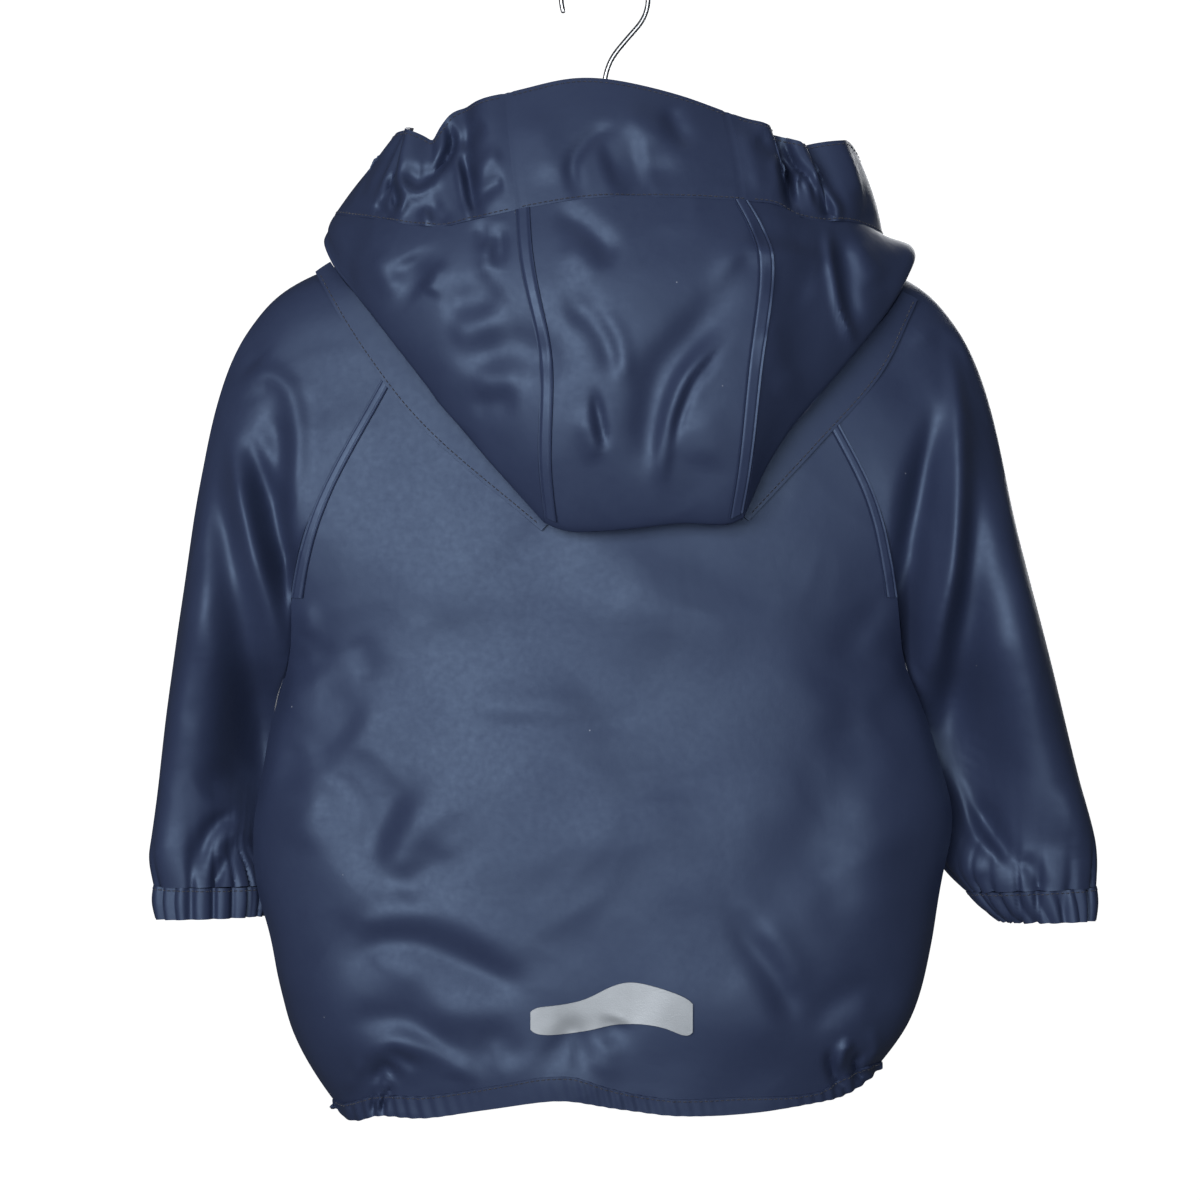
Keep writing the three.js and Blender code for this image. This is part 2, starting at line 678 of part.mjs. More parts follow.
// The placket over the front opening, with its snaps
const PLACKET_TOP = NECK_FRONT - 2;
const PLACKET_ROWS = 20;
const PLACKET_LIFT = 2.8;
const SNAP_GAP = 0.5;
function placketPoint(x, z, lift) {
  return vec(x, bodyY(x, z, 1) + lift, z);
}
{
  const bottom = frontHemZ(0, 'bottom');
  const grid = [];
  for (let i = 0; i <= PLACKET_ROWS; i += 1) {
    const z = mix(PLACKET_TOP, bottom, i / PLACKET_ROWS);
    grid.push([-0.5, 0, 0.5].map((u) => placketPoint(u * PLACKET_WIDTH, z, PLACKET_LIFT)));
  }
  add('placket', wall(grid, CLOTH), 'cloth');
}
const SNAP_COUNT = 5;
const SNAP_SIDES = 16;
const SNAP_FIRST = -232;
const SNAP_LAST = -660;
const SNAP_PROFILE = table('radius height', [
  [0, 0],
  [7, 0],
  [7, 1.1],
  [4.9, 2.2],
  [0, 1.76],
]);
for (let k = 0; k < SNAP_COUNT; k += 1) {
  const z = mix(SNAP_FIRST, SNAP_LAST, k / (SNAP_COUNT - 1));
  const profile = SNAP_PROFILE.map(({ radius, height }) => new THREE.Vector2(radius, height));
  const geometry = new THREE.LatheGeometry(profile, SNAP_SIDES);
  const face = placketPoint(0, z, PLACKET_LIFT + CLOTH / 2 + SNAP_GAP);
  geometry.translate(face.x, face.y, face.z);
  add(`snap_${k + 1}`, geometry, 'snap');
}

// The depth of a panel's own facets at x, z
const ON_EDGE = 1e-6;
function surfaceY(grid, x, z) {
  const onTriangle = (a, b, c) => {
    const area = (b.x - a.x) * (c.z - a.z) - (c.x - a.x) * (b.z - a.z);
    const s = ((x - a.x) * (c.z - a.z) - (c.x - a.x) * (z - a.z)) / area;
    const t = ((b.x - a.x) * (z - a.z) - (x - a.x) * (b.z - a.z)) / area;
    if (s < -ON_EDGE || t < -ON_EDGE || s + t > 1 + ON_EDGE) return null;
    return a.y + s * (b.y - a.y) + t * (c.y - a.y);
  };
  for (let i = 0; i < grid.length - 1; i += 1) {
    for (let j = 0; j < grid[0].length - 1; j += 1) {
      const [a, b, c, d] = [grid[i][j], grid[i][j + 1], grid[i + 1][j + 1], grid[i + 1][j]];
      const y = onTriangle(a, b, c) ?? onTriangle(a, c, d);
      if (y !== null) return y;
    }
  }
  throw new Error(`no panel at ${x}, ${z}`);
}

// The reflective strip on the back
const REFLECTOR_GAP = 0.5;
const REFLECTOR_SHARES = [0, 0.03, 0.12, 0.24, 0.36, 0.48, 0.6, 0.72, 0.84, 0.93, 0.98, 1];
{
  const first = REFLECTOR[0].x;
  const last = REFLECTOR[REFLECTOR.length - 1].x;
  const grid = [0, 0.5, 1].map((v) => REFLECTOR_SHARES.map((u) => {
    const x = mix(first, last, u);
    const z = mix(read(REFLECTOR, 'x', x, 'top'), read(REFLECTOR, 'x', x, 'bottom'), v);
    return vec(x, surfaceY(back, x, z) - (CLOTH / 2 + TRIM / 2 + REFLECTOR_GAP), z);
  }));
  add('reflector', wall(grid, TRIM), 'reflective');
}

// The row number at which a sleeve starts to turn from the body's dome into a tube
const TUBE_FROM = 5;
// Where a sleeve's back slopes in behind the body, the share of the tube's depth left at the inside
const PLUNGE_FLOOR = 0.22;
const PLUNGE_REACH = 1.05;
function plungeShare(out, plunge) {
  return mix(1, mix(PLUNGE_FLOOR, 1, step(out * PLUNGE_REACH)), plunge);
}
// The rows and columns over which a sleeve's folds fade out towards its edges
const SLEEVE_FADE = { top: 3, end: 2, seam: 1.5, outer: 2 };

// A sleeve's rows: over the shoulder they follow the body's dome, below the armpit they are a tube
function sleeveGrid(shoulder, arm, way, folds) {
  const keys = way < 0 ? ['left', 'frontLeft'] : ['right', 'frontRight'];
  const outline = (z) => ({
    left: way < 0 ? read(shoulder, 'outerZ', z, 'outerX') : read(SHOULDER_LEFT, 'outerZ', z, 'outerX'),
    right: way < 0 ? read(SHOULDER_RIGHT, 'outerZ', z, 'outerX') : read(shoulder, 'outerZ', z, 'outerX'),
  });
  const armpitAt = shoulder[shoulder.length - 1].at;
  const lastAt = arm[arm.length - 1].at;
  // Above the armpit each row meets the panels at their own rows
  const stations = [];
  for (let i = 0; i < ROWS_ABOVE_ARMPIT; i += 1) {
    const backZ = seamZ(i, NECK_SEAM, 0);
    stations.push({ at: read(shoulder, 'backZ', backZ, 'at'), backZ, frontZ: seamZ(i, NECK_FRONT_SEAM, 0) });
  }
  for (let i = 0; i <= ARM_ROWS; i += 1) stations.push({ at: mix(armpitAt, lastAt, i / ARM_ROWS) });
  return stations.map(({ at, backZ, frontZ }) => {
    const tube = step((at - TUBE_FROM) / (armpitAt - TUBE_FROM));
    const row = [];
    const half = (side, t) => {
      const round = (1 + Math.cos(Math.PI * (1 - t))) / 2;
      const out = mix(Math.sin((t * Math.PI) / 2), round, tube);
      if (at >= armpitAt) {
        const get = (key) => read(arm, 'at', at, key);
        const x = mix(get('innerX'), get('outerX'), out);
        const z = mix(get('innerZ'), get('outerZ'), out);
        const slope = side < 0 ? plungeShare(out, get('plunge')) : 1;
        const depth = side < 0 ? get('back') : get('front');
        const chord = mix(get('innerY'), get('outerY'), out) + side * SIDE_GAP * (1 - t);
        return vec(x, chord + side * depth * Math.sin(Math.PI * (1 - t)) * slope, z);
      }
      const edgeZ = side < 0 ? backZ : frontZ;
      const edgeX = read(SEAMS, 'z', edgeZ, keys[side < 0 ? 0 : 1]);
      const seamX = edgeX + way * mix(SEAM, ARMPIT_GAP, tube);
      const seamY = bodyY(edgeX, edgeZ, side);
      const outerX = read(shoulder, 'at', at, 'outerX');
      const outerZ = read(shoulder, 'at', at, 'outerZ');
      const outerY = mix(bodySection(outerZ).edge, arm[0].outerY, tube);
      const x = mix(seamX, outerX, out);
      const z = mix(edgeZ, outerZ, out);
      const domeY = bodyY(x, z, side, outline(z));
      const start = bodyY(seamX, edgeZ, side, outline(edgeZ));
      const onDome = domeY + (seamY - start) * (1 - t);
      const depth = side < 0 ? arm[0].back : arm[0].front;
      const slope = side < 0 ? plungeShare(out, arm[0].plunge) : 1;
      const inTube = mix(seamY, outerY, out) + side * depth * Math.sin(Math.PI * (1 - t)) * slope;
      return vec(x, mix(onDome, inTube, tube), z);
    };
    for (let j = 0; j < SLEEVE_BACK_COLUMNS; j += 1) row.push(half(-1, j / SLEEVE_BACK_COLUMNS));
    for (let j = 0; j <= SLEEVE_FRONT_COLUMNS; j += 1) row.push(half(1, 1 - j / SLEEVE_FRONT_COLUMNS));
    return row;
  }).map((row, i, all) => row.map((p, j) => {
    if (j >= SLEEVE_BACK_COLUMNS) return p;
    const down = step(i / SLEEVE_FADE.top) * step((all.length - 1 - i) / SLEEVE_FADE.end);
    const across = step(j / SLEEVE_FADE.seam) * step((SLEEVE_BACK_COLUMNS - j) / SLEEVE_FADE.outer);
    return vec(p.x, p.y - foldHeight(folds, p.x, p.z) * down * across, p.z);
  }));
}
const sleeveLeft = sleeveGrid(SHOULDER_LEFT, ARM_LEFT, -1, SLEEVE_LEFT_FOLDS);
const sleeveRight = sleeveGrid(SHOULDER_RIGHT, ARM_RIGHT, 1, SLEEVE_RIGHT_FOLDS);
add('sleeve_left', wall(sleeveLeft, CLOTH), 'cloth');
add('sleeve_right', wall(sleeveRight, CLOTH), 'cloth');

// An elasticated cuff: a closed ring with small upright waves
function cuff(rows, arm) {
  const end = arm[arm.length - 1];
  const grid = rows.map((row) => {
    const ring = [];
    for (let j = 0; j < CUFF_COLUMNS; j += 1) {
      const angle = (j / CUFF_COLUMNS) * Math.PI * 2;
      const out = (1 + Math.cos(angle)) / 2;
      const wave = 1 + (CUFF_WAVE_HEIGHT / CUFF_DEPTH) * Math.cos(angle * CUFF_WAVES);
      const x = mix(row.innerX, row.outerX, out);
      const z = mix(row.innerZ, row.outerZ, out);
      const y = mix(end.innerY, end.outerY, out) + CUFF_DEPTH * Math.sin(angle) * wave;
      ring.push(vec(x + (x - (row.innerX + row.outerX) / 2) * (wave - 1), y, z));
    }
    return ring;
  });
  return wall(grid, BAND, true);
}
add('cuff_left', cuff(CUFF_LEFT, ARM_LEFT), 'cloth');
add('cuff_right', cuff(CUFF_RIGHT, ARM_RIGHT), 'cloth');

// Directions around the neck at which its ring meets the raglan seams behind and in front
const BACK_SEAM_TURN = 57;
const FRONT_SEAM_TURN = 118;

// A point of the neck ring in a direction around the neck
function neckPoint(turn) {
  const way = Math.sign(turn) || 1;
  const t = Math.abs(turn);
  if (t <= BACK_SEAM_TURN) {
    const x = (NECK_BACK_HALF * Math.sin(t * RAD)) / Math.sin(BACK_SEAM_TURN * RAD);
    return vec(way * x, bodyY(way * x, neckBackZ(x), -1), neckBackZ(x));
  }
  if (t <= 90) {
    const share = (t - BACK_SEAM_TURN) / (90 - BACK_SEAM_TURN);
    const x = way * mix(NECK_BACK_HALF, NECK_SHOULDER_HALF, share);
    const z = mix(NECK_SEAM, NECK_SHOULDER, share);
    return vec(x, bodyY(x, z, -1), z);
  }
  if (t <= FRONT_SEAM_TURN) {
    const share = (t - 90) / (FRONT_SEAM_TURN - 90);
    const x = way * mix(NECK_SHOULDER_HALF, NECK_FRONT_HALF, share);
    const z = mix(NECK_SHOULDER, NECK_FRONT_SEAM, share);
    return vec(x, bodyY(x, z, 1), z);
  }
  const x = way * NECK_FRONT_HALF * Math.sin(((180 - t) / (180 - FRONT_SEAM_TURN)) * Math.PI * 0.5);
  return vec(x, bodyY(x, neckFrontZ(x), 1), neckFrontZ(x));
}

// The hood starts a little above the neck ring and first flares out
const NECK_RISE = 1.5;
const FLARE_OUT = 3;
const FLARE_UP = 4;
// Shares of a column's under layer and outer layer at which it has points
const UNDER_SHARES = [0.3, 0.65];
const OUTER_SHARES = [0.17, 0.34, 0.51, 0.68, 0.85];
// The part of a half sine that the outer layer's swell follows
const SWELL_START = 0.04;
const SWELL_SPAN = 0.92;
const SWAY_REACH = 0.24;

function hoodLevels(turn) {
  const get = (key) => read(HOOD, 'turn', turn, key);
  const out = vec(Math.sin(turn * RAD), -Math.cos(turn * RAD), 0);
  const behind = Math.abs(turn) <= 90;
  const stitchDepth = behind ? STITCH_BACK : STITCH_FRONT;
  const brimDepth = behind ? BRIM_BACK : BRIM_FRONT;
  const stitch = vec(get('stitchX'), -stitchDepth * Math.cos(turn * RAD), get('stitchZ'));
  const brim = vec(get('brimX'), -brimDepth * Math.cos(turn * RAD), get('brimZ'));
  const tip = clearOfBody(vec(get('foldX'), get('foldY'), get('foldZ')), HOOD_LIFT + HOOD_FOLD_RADIUS);
  return { out, stitch, brim, tip, neck: neckPoint(turn) };
}

// One column of the hood: up off the neck, down the back, round the fold, and up to the stitch line
function hoodColumn(turn) {
  const { out, stitch, tip, neck } = hoodLevels(turn);
  const start = neck.clone().add(vec(0, 0, NECK_RISE));
  const top = start.clone().addScaledVector(out, FLARE_OUT).add(vec(0, 0, FLARE_UP));
  const along = tip.clone().sub(top).normalize();
  const away = outside(tip).way;
  const bend = tip.clone().addScaledVector(along, -HOOD_FOLD_RADIUS);
  const turnIn = bend.clone().addScaledVector(away, -HOOD_FOLD_RADIUS);
  const turnOut = bend.clone().addScaledVector(away, HOOD_FOLD_RADIUS);
  const column = [start, top];
  UNDER_SHARES.forEach((t) => column.push(clearOfBody(top.clone().lerp(turnIn, t), HOOD_LIFT)));
  column.push(clearOfBody(turnIn, HOOD_LIFT), tip, turnOut);
  const rise = stitch.distanceTo(turnOut);
  OUTER_SHARES.forEach((t) => {
    const p = turnOut.clone().lerp(stitch, t);
    p.addScaledVector(out, HOOD_SWELL * rise * Math.sin(Math.PI * (SWELL_START + SWELL_SPAN * t)));
    for (const sway of HOOD_SWAY) {
      const beside = (turn - sway.turn) / sway.spread;
      const above = (t - sway.up) / SWAY_REACH;
      p.x += sway.shift * Math.exp(-(beside ** 2) - above ** 2);
    }
    column.push(p);
  });
  column.push(stitch);
  return column;
}

function hoodPanel(turns) {
  const columns = turns.map(hoodColumn);
  return columns[0].map((_, i) => columns.map((column) => column[i]));
}

// Directions spread evenly from one seam to another, with half a seam gap left at each end
function spread(from, to, count) {
  return Array.from({ length: count + 1 }, (_, i) => mix(from, to, i / count));
}
const HOOD_SEAM_GAP = 0.17;
const HOOD_FRONT_COLUMNS = 7;
const HOOD_LEFT_COLUMNS = 11;
const HOOD_RIGHT_COLUMNS = 10;
const HOOD_CENTRE_COLUMNS = 8;
const sideLeftTurns = spread(-HOOD_END, -90, HOOD_FRONT_COLUMNS)
  .concat(spread(-90, HOOD_SEAM_LEFT - HOOD_SEAM_GAP, HOOD_LEFT_COLUMNS).slice(1));
const sideRightTurns = spread(HOOD_SEAM_RIGHT + HOOD_SEAM_GAP, 90, HOOD_RIGHT_COLUMNS)
  .concat(spread(90, HOOD_END, HOOD_FRONT_COLUMNS).slice(1));
// The centre panel's outermost columns are a tape's width in from its seams
const TAPE_TURN = 3;
const centreTurns = [HOOD_SEAM_LEFT + HOOD_SEAM_GAP]
  .concat(spread(HOOD_SEAM_LEFT + TAPE_TURN, HOOD_SEAM_RIGHT - TAPE_TURN, HOOD_CENTRE_COLUMNS))
  .concat([HOOD_SEAM_RIGHT - HOOD_SEAM_GAP]);
const hoodCentre = hoodPanel(centreTurns);
const hoodLeft = hoodPanel(sideLeftTurns);
const hoodRight = hoodPanel(sideRightTurns);
add('hood_centre', wall(hoodCentre, CLOTH), 'hood');
add('hood_side_left', wall(hoodLeft, CLOTH), 'hood');
add('hood_side_right', wall(hoodRight, CLOTH), 'hood');

// The hood's seam tapes, on the centre panel's outer face from the fold to the stitch line
const FOLD_ROW = 6;
const HOOD_TAPE_ROWS = [FOLD_ROW, hoodCentre.length - 1];
const HOOD_TAPE_RIGHT = [centreTurns.length - 2, centreTurns.length - 1];
add('hood_tape_left', layOn(hoodCentre, -1, HOOD_TAPE_ROWS, [0, 1], TRIM, LAY_GAP), 'tape');
add('hood_tape_right', layOn(hoodCentre, -1, HOOD_TAPE_ROWS, HOOD_TAPE_RIGHT, TRIM, LAY_GAP), 'tape');

// The brim stands up from the stitch line and is gathered at both sides
const BRIM_GAP_BACK = 1.1;
const BRIM_GAP_FRONT = 1.7;
// The gap widens over these directions either side
const BRIM_GAP_FROM = 70;
const BRIM_GAP_TO = 90;
const BRIM_LEVELS = [0, 0.35, 0.7, 1];
const BRIM_BULGE = 2.5;
// The gathers are full from half way up
const BRIM_FOLD_RISE = 2;
function brimPanel(turns) {
  return BRIM_LEVELS.map((v) => turns.map((turn) => {
    const { out, stitch, brim } = hoodLevels(turn);
    const up = brim.clone().sub(stitch);
    const forward = step((Math.abs(turn) - BRIM_GAP_FROM) / (BRIM_GAP_TO - BRIM_GAP_FROM));
    const gap = mix(BRIM_GAP_BACK, BRIM_GAP_FRONT, forward);
    const foot = stitch.clone().addScaledVector(up.clone().normalize(), gap);
    const p = foot.lerp(brim, v);
    let fold = 0;
    for (const row of BRIM_FOLDS) fold += row.depth * Math.exp(-(((turn - row.turn) / row.width) ** 2));
    const bulge = BRIM_BULGE * Math.sin(Math.PI * v);
    return p.addScaledVector(out, fold * Math.min(1, v * BRIM_FOLD_RISE) + bulge);
  }));
}
function turnsOf(rows, count) {
  return spread(0, 1, count).map((share) => readStraight(rows, 'share', share, 'turn'));
}
const BRIM_LEFT_COLUMNS = 26;
const BRIM_RIGHT_COLUMNS = 24;
const BRIM_CENTRE_COLUMNS = 9;
const brimLeftTurns = turnsOf(BRIM_LEFT_STEPS, BRIM_LEFT_COLUMNS);
const brimRightTurns = turnsOf(BRIM_RIGHT_STEPS, BRIM_RIGHT_COLUMNS);
brimLeftTurns[BRIM_LEFT_COLUMNS] -= HOOD_SEAM_GAP;
brimRightTurns[0] += HOOD_SEAM_GAP;
const brimCentreTurns = spread(
  HOOD_SEAM_LEFT + HOOD_SEAM_GAP,
  HOOD_SEAM_RIGHT - HOOD_SEAM_GAP,
  BRIM_CENTRE_COLUMNS,
);
add('brim_left', wall(brimPanel(brimLeftTurns), BAND), 'hood');
add('brim_right', wall(brimPanel(brimRightTurns), BAND), 'hood');
add('brim_centre', wall(brimPanel(brimCentreTurns), BAND), 'hood');

// The flat bands beside the hood's lower sides, lying on the back and reaching under the hood
const HOOD_BAND_COLUMNS = 14;
// Its upper end, where the shoulder turns over, is narrower over this share of its length
const HOOD_BAND_TIP = 1 / 3;
const HOOD_BAND_TIP_WIDTH = 0.45;
const HOOD_BAND_PROBE = 0.01;
function hoodBand(rows, way) {
  const edge = (at) => vec(read(rows, 'at', at, 'x'), 0, read(rows, 'at', at, 'z'));
  const grid = [[], [], []];
  for (let j = 0; j <= HOOD_BAND_COLUMNS; j += 1) {
    const at = j / HOOD_BAND_COLUMNS;
    const outer = edge(at);
    const ahead = edge(Math.min(1, at + HOOD_BAND_PROBE));
    const line = ahead.sub(edge(Math.max(0, at - HOOD_BAND_PROBE))).normalize();
    const inwards = vec(-way * Math.abs(line.z), 0, Math.abs(line.x));
    const width = HOOD_BAND_WIDTH * mix(HOOD_BAND_TIP_WIDTH, 1, step(at / HOOD_BAND_TIP));
    [0, 0.5, 1].forEach((v, i) => {
      const p = outer.clone().addScaledVector(inwards, v * width);
      p.y = bodyY(p.x, p.z, -1);
      grid[i].push(p);
    });
  }
  return wall(grid.map((row) => row.map((p) => clearOfBody(p, HOOD_BAND_LIFT))), BAND);
}
add('hood_band_left', hoodBand(BAND_LEFT, -1), 'hood');
add('hood_band_right', hoodBand(BAND_RIGHT, 1), 'hood');

// The hanger: a shaped wooden bar just under the shoulders, and a wire hook
const HANGER_CROWN = -148;
const HANGER_DEPTH = 12;
const HANGER_HEIGHT = 16;
const HANGER_END = 188;
const HANGER_TAPER = 6;
const HANGER_BEVEL = 1.5;
const HANGER_SPANS = 22;
const HANGER_CLEARANCE = 2;
const HANGER = table('x top', [
  [0, HANGER_CROWN],
  [30, -150],
  [70, -164],
  [88, -172],
  [99, -173.5 - HANGER_CLEARANCE],
  [130, -183.5 - HANGER_CLEARANCE],
  [165, -192 - HANGER_CLEARANCE],
  [188, -201.5 - HANGER_CLEARANCE],
]);
{
  const shape = new THREE.Shape();
  const top = (x) => read(HANGER, 'x', Math.abs(x), 'top');
  const height = (x) => HANGER_HEIGHT + HANGER_TAPER * (1 - (2 * Math.abs(x)) / HANGER_END);
  const xs = spread(-HANGER_END, HANGER_END, HANGER_SPANS);
  xs.forEach((x, i) => (i ? shape.lineTo(x, top(x)) : shape.moveTo(x, top(x))));
  [...xs].reverse().forEach((x) => shape.lineTo(x, top(x) - height(x)));
  const depth = HANGER_DEPTH - 2 * HANGER_BEVEL;
  const geometry = new THREE.ExtrudeGeometry(shape, {
    depth,
    bevelEnabled: true,
    bevelSegments: 1,
    bevelSize: HANGER_BEVEL,
    bevelOffset: -HANGER_BEVEL,
    bevelThickness: HANGER_BEVEL,
  });
  geometry.rotateX(Math.PI / 2);
  geometry.translate(0, depth / 2, 0);
  add('hanger_arms', geometry, 'wood');
}

// The wire rises from the hanger's crown and then bends round in an open ring
const WIRE_RADIUS = 1.8;
const WIRE_SIDES = 8;
const WIRE_SPANS = 46;
const HOOK_RADIUS = 27;
const HOOK_CENTRE = -(HOOK_RADIUS - WIRE_RADIUS);
const HOOK_STEM = table('x z', [
  [0, HANGER_CROWN + 0.3],
  [0, -120],
  [0, -92],
  [0, -76],
  [4, -63],
  [14, -50],
]);
const HOOK_FROM = -32;
const HOOK_TO = 200;
const HOOK_SPANS = 16;
{
  const points = HOOK_STEM.map(({ x, z }) => vec(x, 0, z));
  spread(HOOK_FROM * RAD, HOOK_TO * RAD, HOOK_SPANS).forEach((angle) => {
    points.push(vec(HOOK_RADIUS * Math.cos(angle), 0, HOOK_CENTRE + HOOK_RADIUS * Math.sin(angle)));
  });
  const path = new THREE.CatmullRomCurve3(points, false, 'centripetal');
  const section = new THREE.Shape();
  for (let k = 0; k < WIRE_SIDES; k += 1) {
    const angle = (k / WIRE_SIDES) * Math.PI * 2;
    const at = [WIRE_RADIUS * Math.cos(angle), WIRE_RADIUS * Math.sin(angle)];
    if (k) section.lineTo(...at);
    else section.moveTo(...at);
  }
  const geometry = new THREE.ExtrudeGeometry(section, {
    steps: WIRE_SPANS,
    extrudePath: path,
    bevelEnabled: false,
  });
  add('hanger_hook', geometry, 'wire');
}

export default coat;
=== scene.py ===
"""A child's hooded raincoat of coated cloth on a wooden hanger, seen from the back."""

import math

import bmesh
import bpy
import numpy as np
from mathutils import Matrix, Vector
from mathutils.bvhtree import BVHTree
from mathutils.kdtree import KDTree


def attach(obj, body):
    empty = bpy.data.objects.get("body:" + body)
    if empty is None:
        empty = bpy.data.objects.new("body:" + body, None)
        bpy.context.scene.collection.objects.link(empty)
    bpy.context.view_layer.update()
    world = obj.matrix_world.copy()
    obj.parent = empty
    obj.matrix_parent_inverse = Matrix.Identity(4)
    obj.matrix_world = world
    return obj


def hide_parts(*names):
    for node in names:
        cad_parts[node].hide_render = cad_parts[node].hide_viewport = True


bl_info = {
    "name": "Kids Raincoat",
    "version": (1, 0, 0),
    "blender": (4, 5, 0),
    "location": "View3D > Sidebar > Raincoat",
    "description": "Dresses a child's raincoat with cloth, seams, stitching and its hanger",
    "category": "Object",
}

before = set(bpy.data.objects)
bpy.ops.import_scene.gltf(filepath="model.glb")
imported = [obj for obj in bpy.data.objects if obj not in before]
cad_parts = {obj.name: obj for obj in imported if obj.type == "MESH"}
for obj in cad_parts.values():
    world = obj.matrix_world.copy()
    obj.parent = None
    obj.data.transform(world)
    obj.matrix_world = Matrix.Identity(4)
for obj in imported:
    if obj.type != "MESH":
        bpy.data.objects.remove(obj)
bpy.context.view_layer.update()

MM = 0.001

# Walls of the frame, in millimetres, by which a wall's rim is found
CLOTH_WALL = 1.6
BAND_WALL = 2.4
TRIM_WALL = 0.8


# Folds are smooth lines in millimetres, seen square from the back or the front: the half width, the height,
# which is negative in a trough, and the points that the line runs through. A third number beside a point is
# the share of the height there.

HOOD_FOLDS = [
    # dents and pulls under the left gathers
    (12.6, -3.5, [(-118.2, -190.2), (-112.2, -202.2), (-103.8, -210)]),
    (10.3, -3.1, [(-97.2, -218.4), (-78, -220.2), (-60, -211.2)]),
    (6.9, 2.3, [(-99, -194.4), (-101.4, -208.2), (-105, -216)]),
    (4.6, -3.1, [(-63, -174), (-63, -187.2), (-64.8, -200.4)]),
    (5.8, 2.3, [(-71.4, -181.2), (-69, -194.4), (-72.6, -208.2)]),
    (4.6, -2.3, [(-75, -172.2), (-72.6, -181.2), (-70.2, -190.2)]),
    (8, 2.3, [(-139.8, -187.2), (-132.6, -202.2), (-121.8, -217.2)]),
    # the broad trough across the left seam
    (12.6, -4.3, [(-87, -262.8), (-72, -251.4), (-54, -247.2), (-36, -254.4), (-15, -261.6)]),
    (10.3, 2.3, [(-91.8, -244.2), (-75, -236.4), (-55.8, -231.6)]),
    (9.2, 2, [(-82.2, -272.4), (-63, -268.2), (-45, -270)]),
    (8, -2, [(-81, -282), (-66, -279.6), (-51, -282)]),
    # the bent crease on the centre panel
    (6.9, -3.1, [(-34.2, -166.8), (-16.2, -174), (-1.2, -187.2), (7.8, -200.4)]),
    (9.2, 2.3, [(-27, -186), (-12, -198), (-5.4, -212.4)]),
    (8, -3.5, [(-23.4, -208.2), (-16.2, -224.4), (-3, -235.2), (3.6, -252), (1.8, -268.8)]),
    (5.8, 2.7, [(-10.2, -224.4), (2.4, -235.2), (10.2, -254.4), (10.2, -274.2)]),
    (3.5, -4, [(-6.6, -273), (-3, -292.2), (0.6, -309.6)]),
    (6.9, 2.3, [(-13.8, -284.4), (-9, -301.2), (-3, -314.4)]),
    # the forked crease beside the right seam
    (11.5, -5.5, [(85.2, -202.8, 0.5), (66, -224.4), (48.6, -245.4), (33, -264), (27, -289.2), (27, -310.2),
                  (31.2, -332.4, 0.4)]),
    (5.8, 4.3, [(75, -235.2, 0.3), (57, -254.4), (45, -271.2), (37.2, -292.2), (33, -316.2),
                (33.6, -335.4, 0.5)]),
    (3, -3.5, [(77.4, -238.8, 0.3), (61.2, -258), (51.6, -270), (43.2, -292.2), (39.6, -310.2, 0.3)]),
    (13.8, 2, [(51, -286.2), (60, -301.2), (57, -320.4)]),
    # the ridge across the right seam
    (9.2, -3.1, [(84, -178.8), (102, -180), (126, -183.6)]),
    (6.9, 3.1, [(60.6, -219.6, 0.6), (71.4, -199.2), (81.6, -188.4), (102, -190.8), (127.8, -194.4),
                (136.2, -205.2, 0.4)]),
    (9.2, -2, [(94.2, -207.6), (111, -210), (124.2, -217.2)]),
    # the crisp crease down the right side panel
    (3.5, 4.5, [(134.4, -168.6), (135.6, -189.6), (139.2, -216.6), (145.8, -235.2), (153, -247.2)]),
    (6.9, -4.7, [(142.2, -175.2), (145.2, -194.4), (146.4, -217.2), (151.8, -235.2)]),
    (8, 2.3, [(150.6, -178.2), (158.4, -194.4), (166.2, -208.2)]),
    (9.2, 2.3, [(112.8, -256.2), (108, -268.2), (103.8, -278.4)]),
    (11.5, -2.7, [(117, -306), (126, -288), (141, -277.2)]),
    (9.2, 2, [(93, -235.2), (102, -247.2), (99, -266.4)]),
    # slack low on the left side panel
    (16.1, 2.3, [(-153, -211.2), (-139.8, -235.2), (-117, -265.2)]),
    (13.8, 2, [(-93, -301.2), (-75, -319.2), (-58.2, -337.2)]),
]

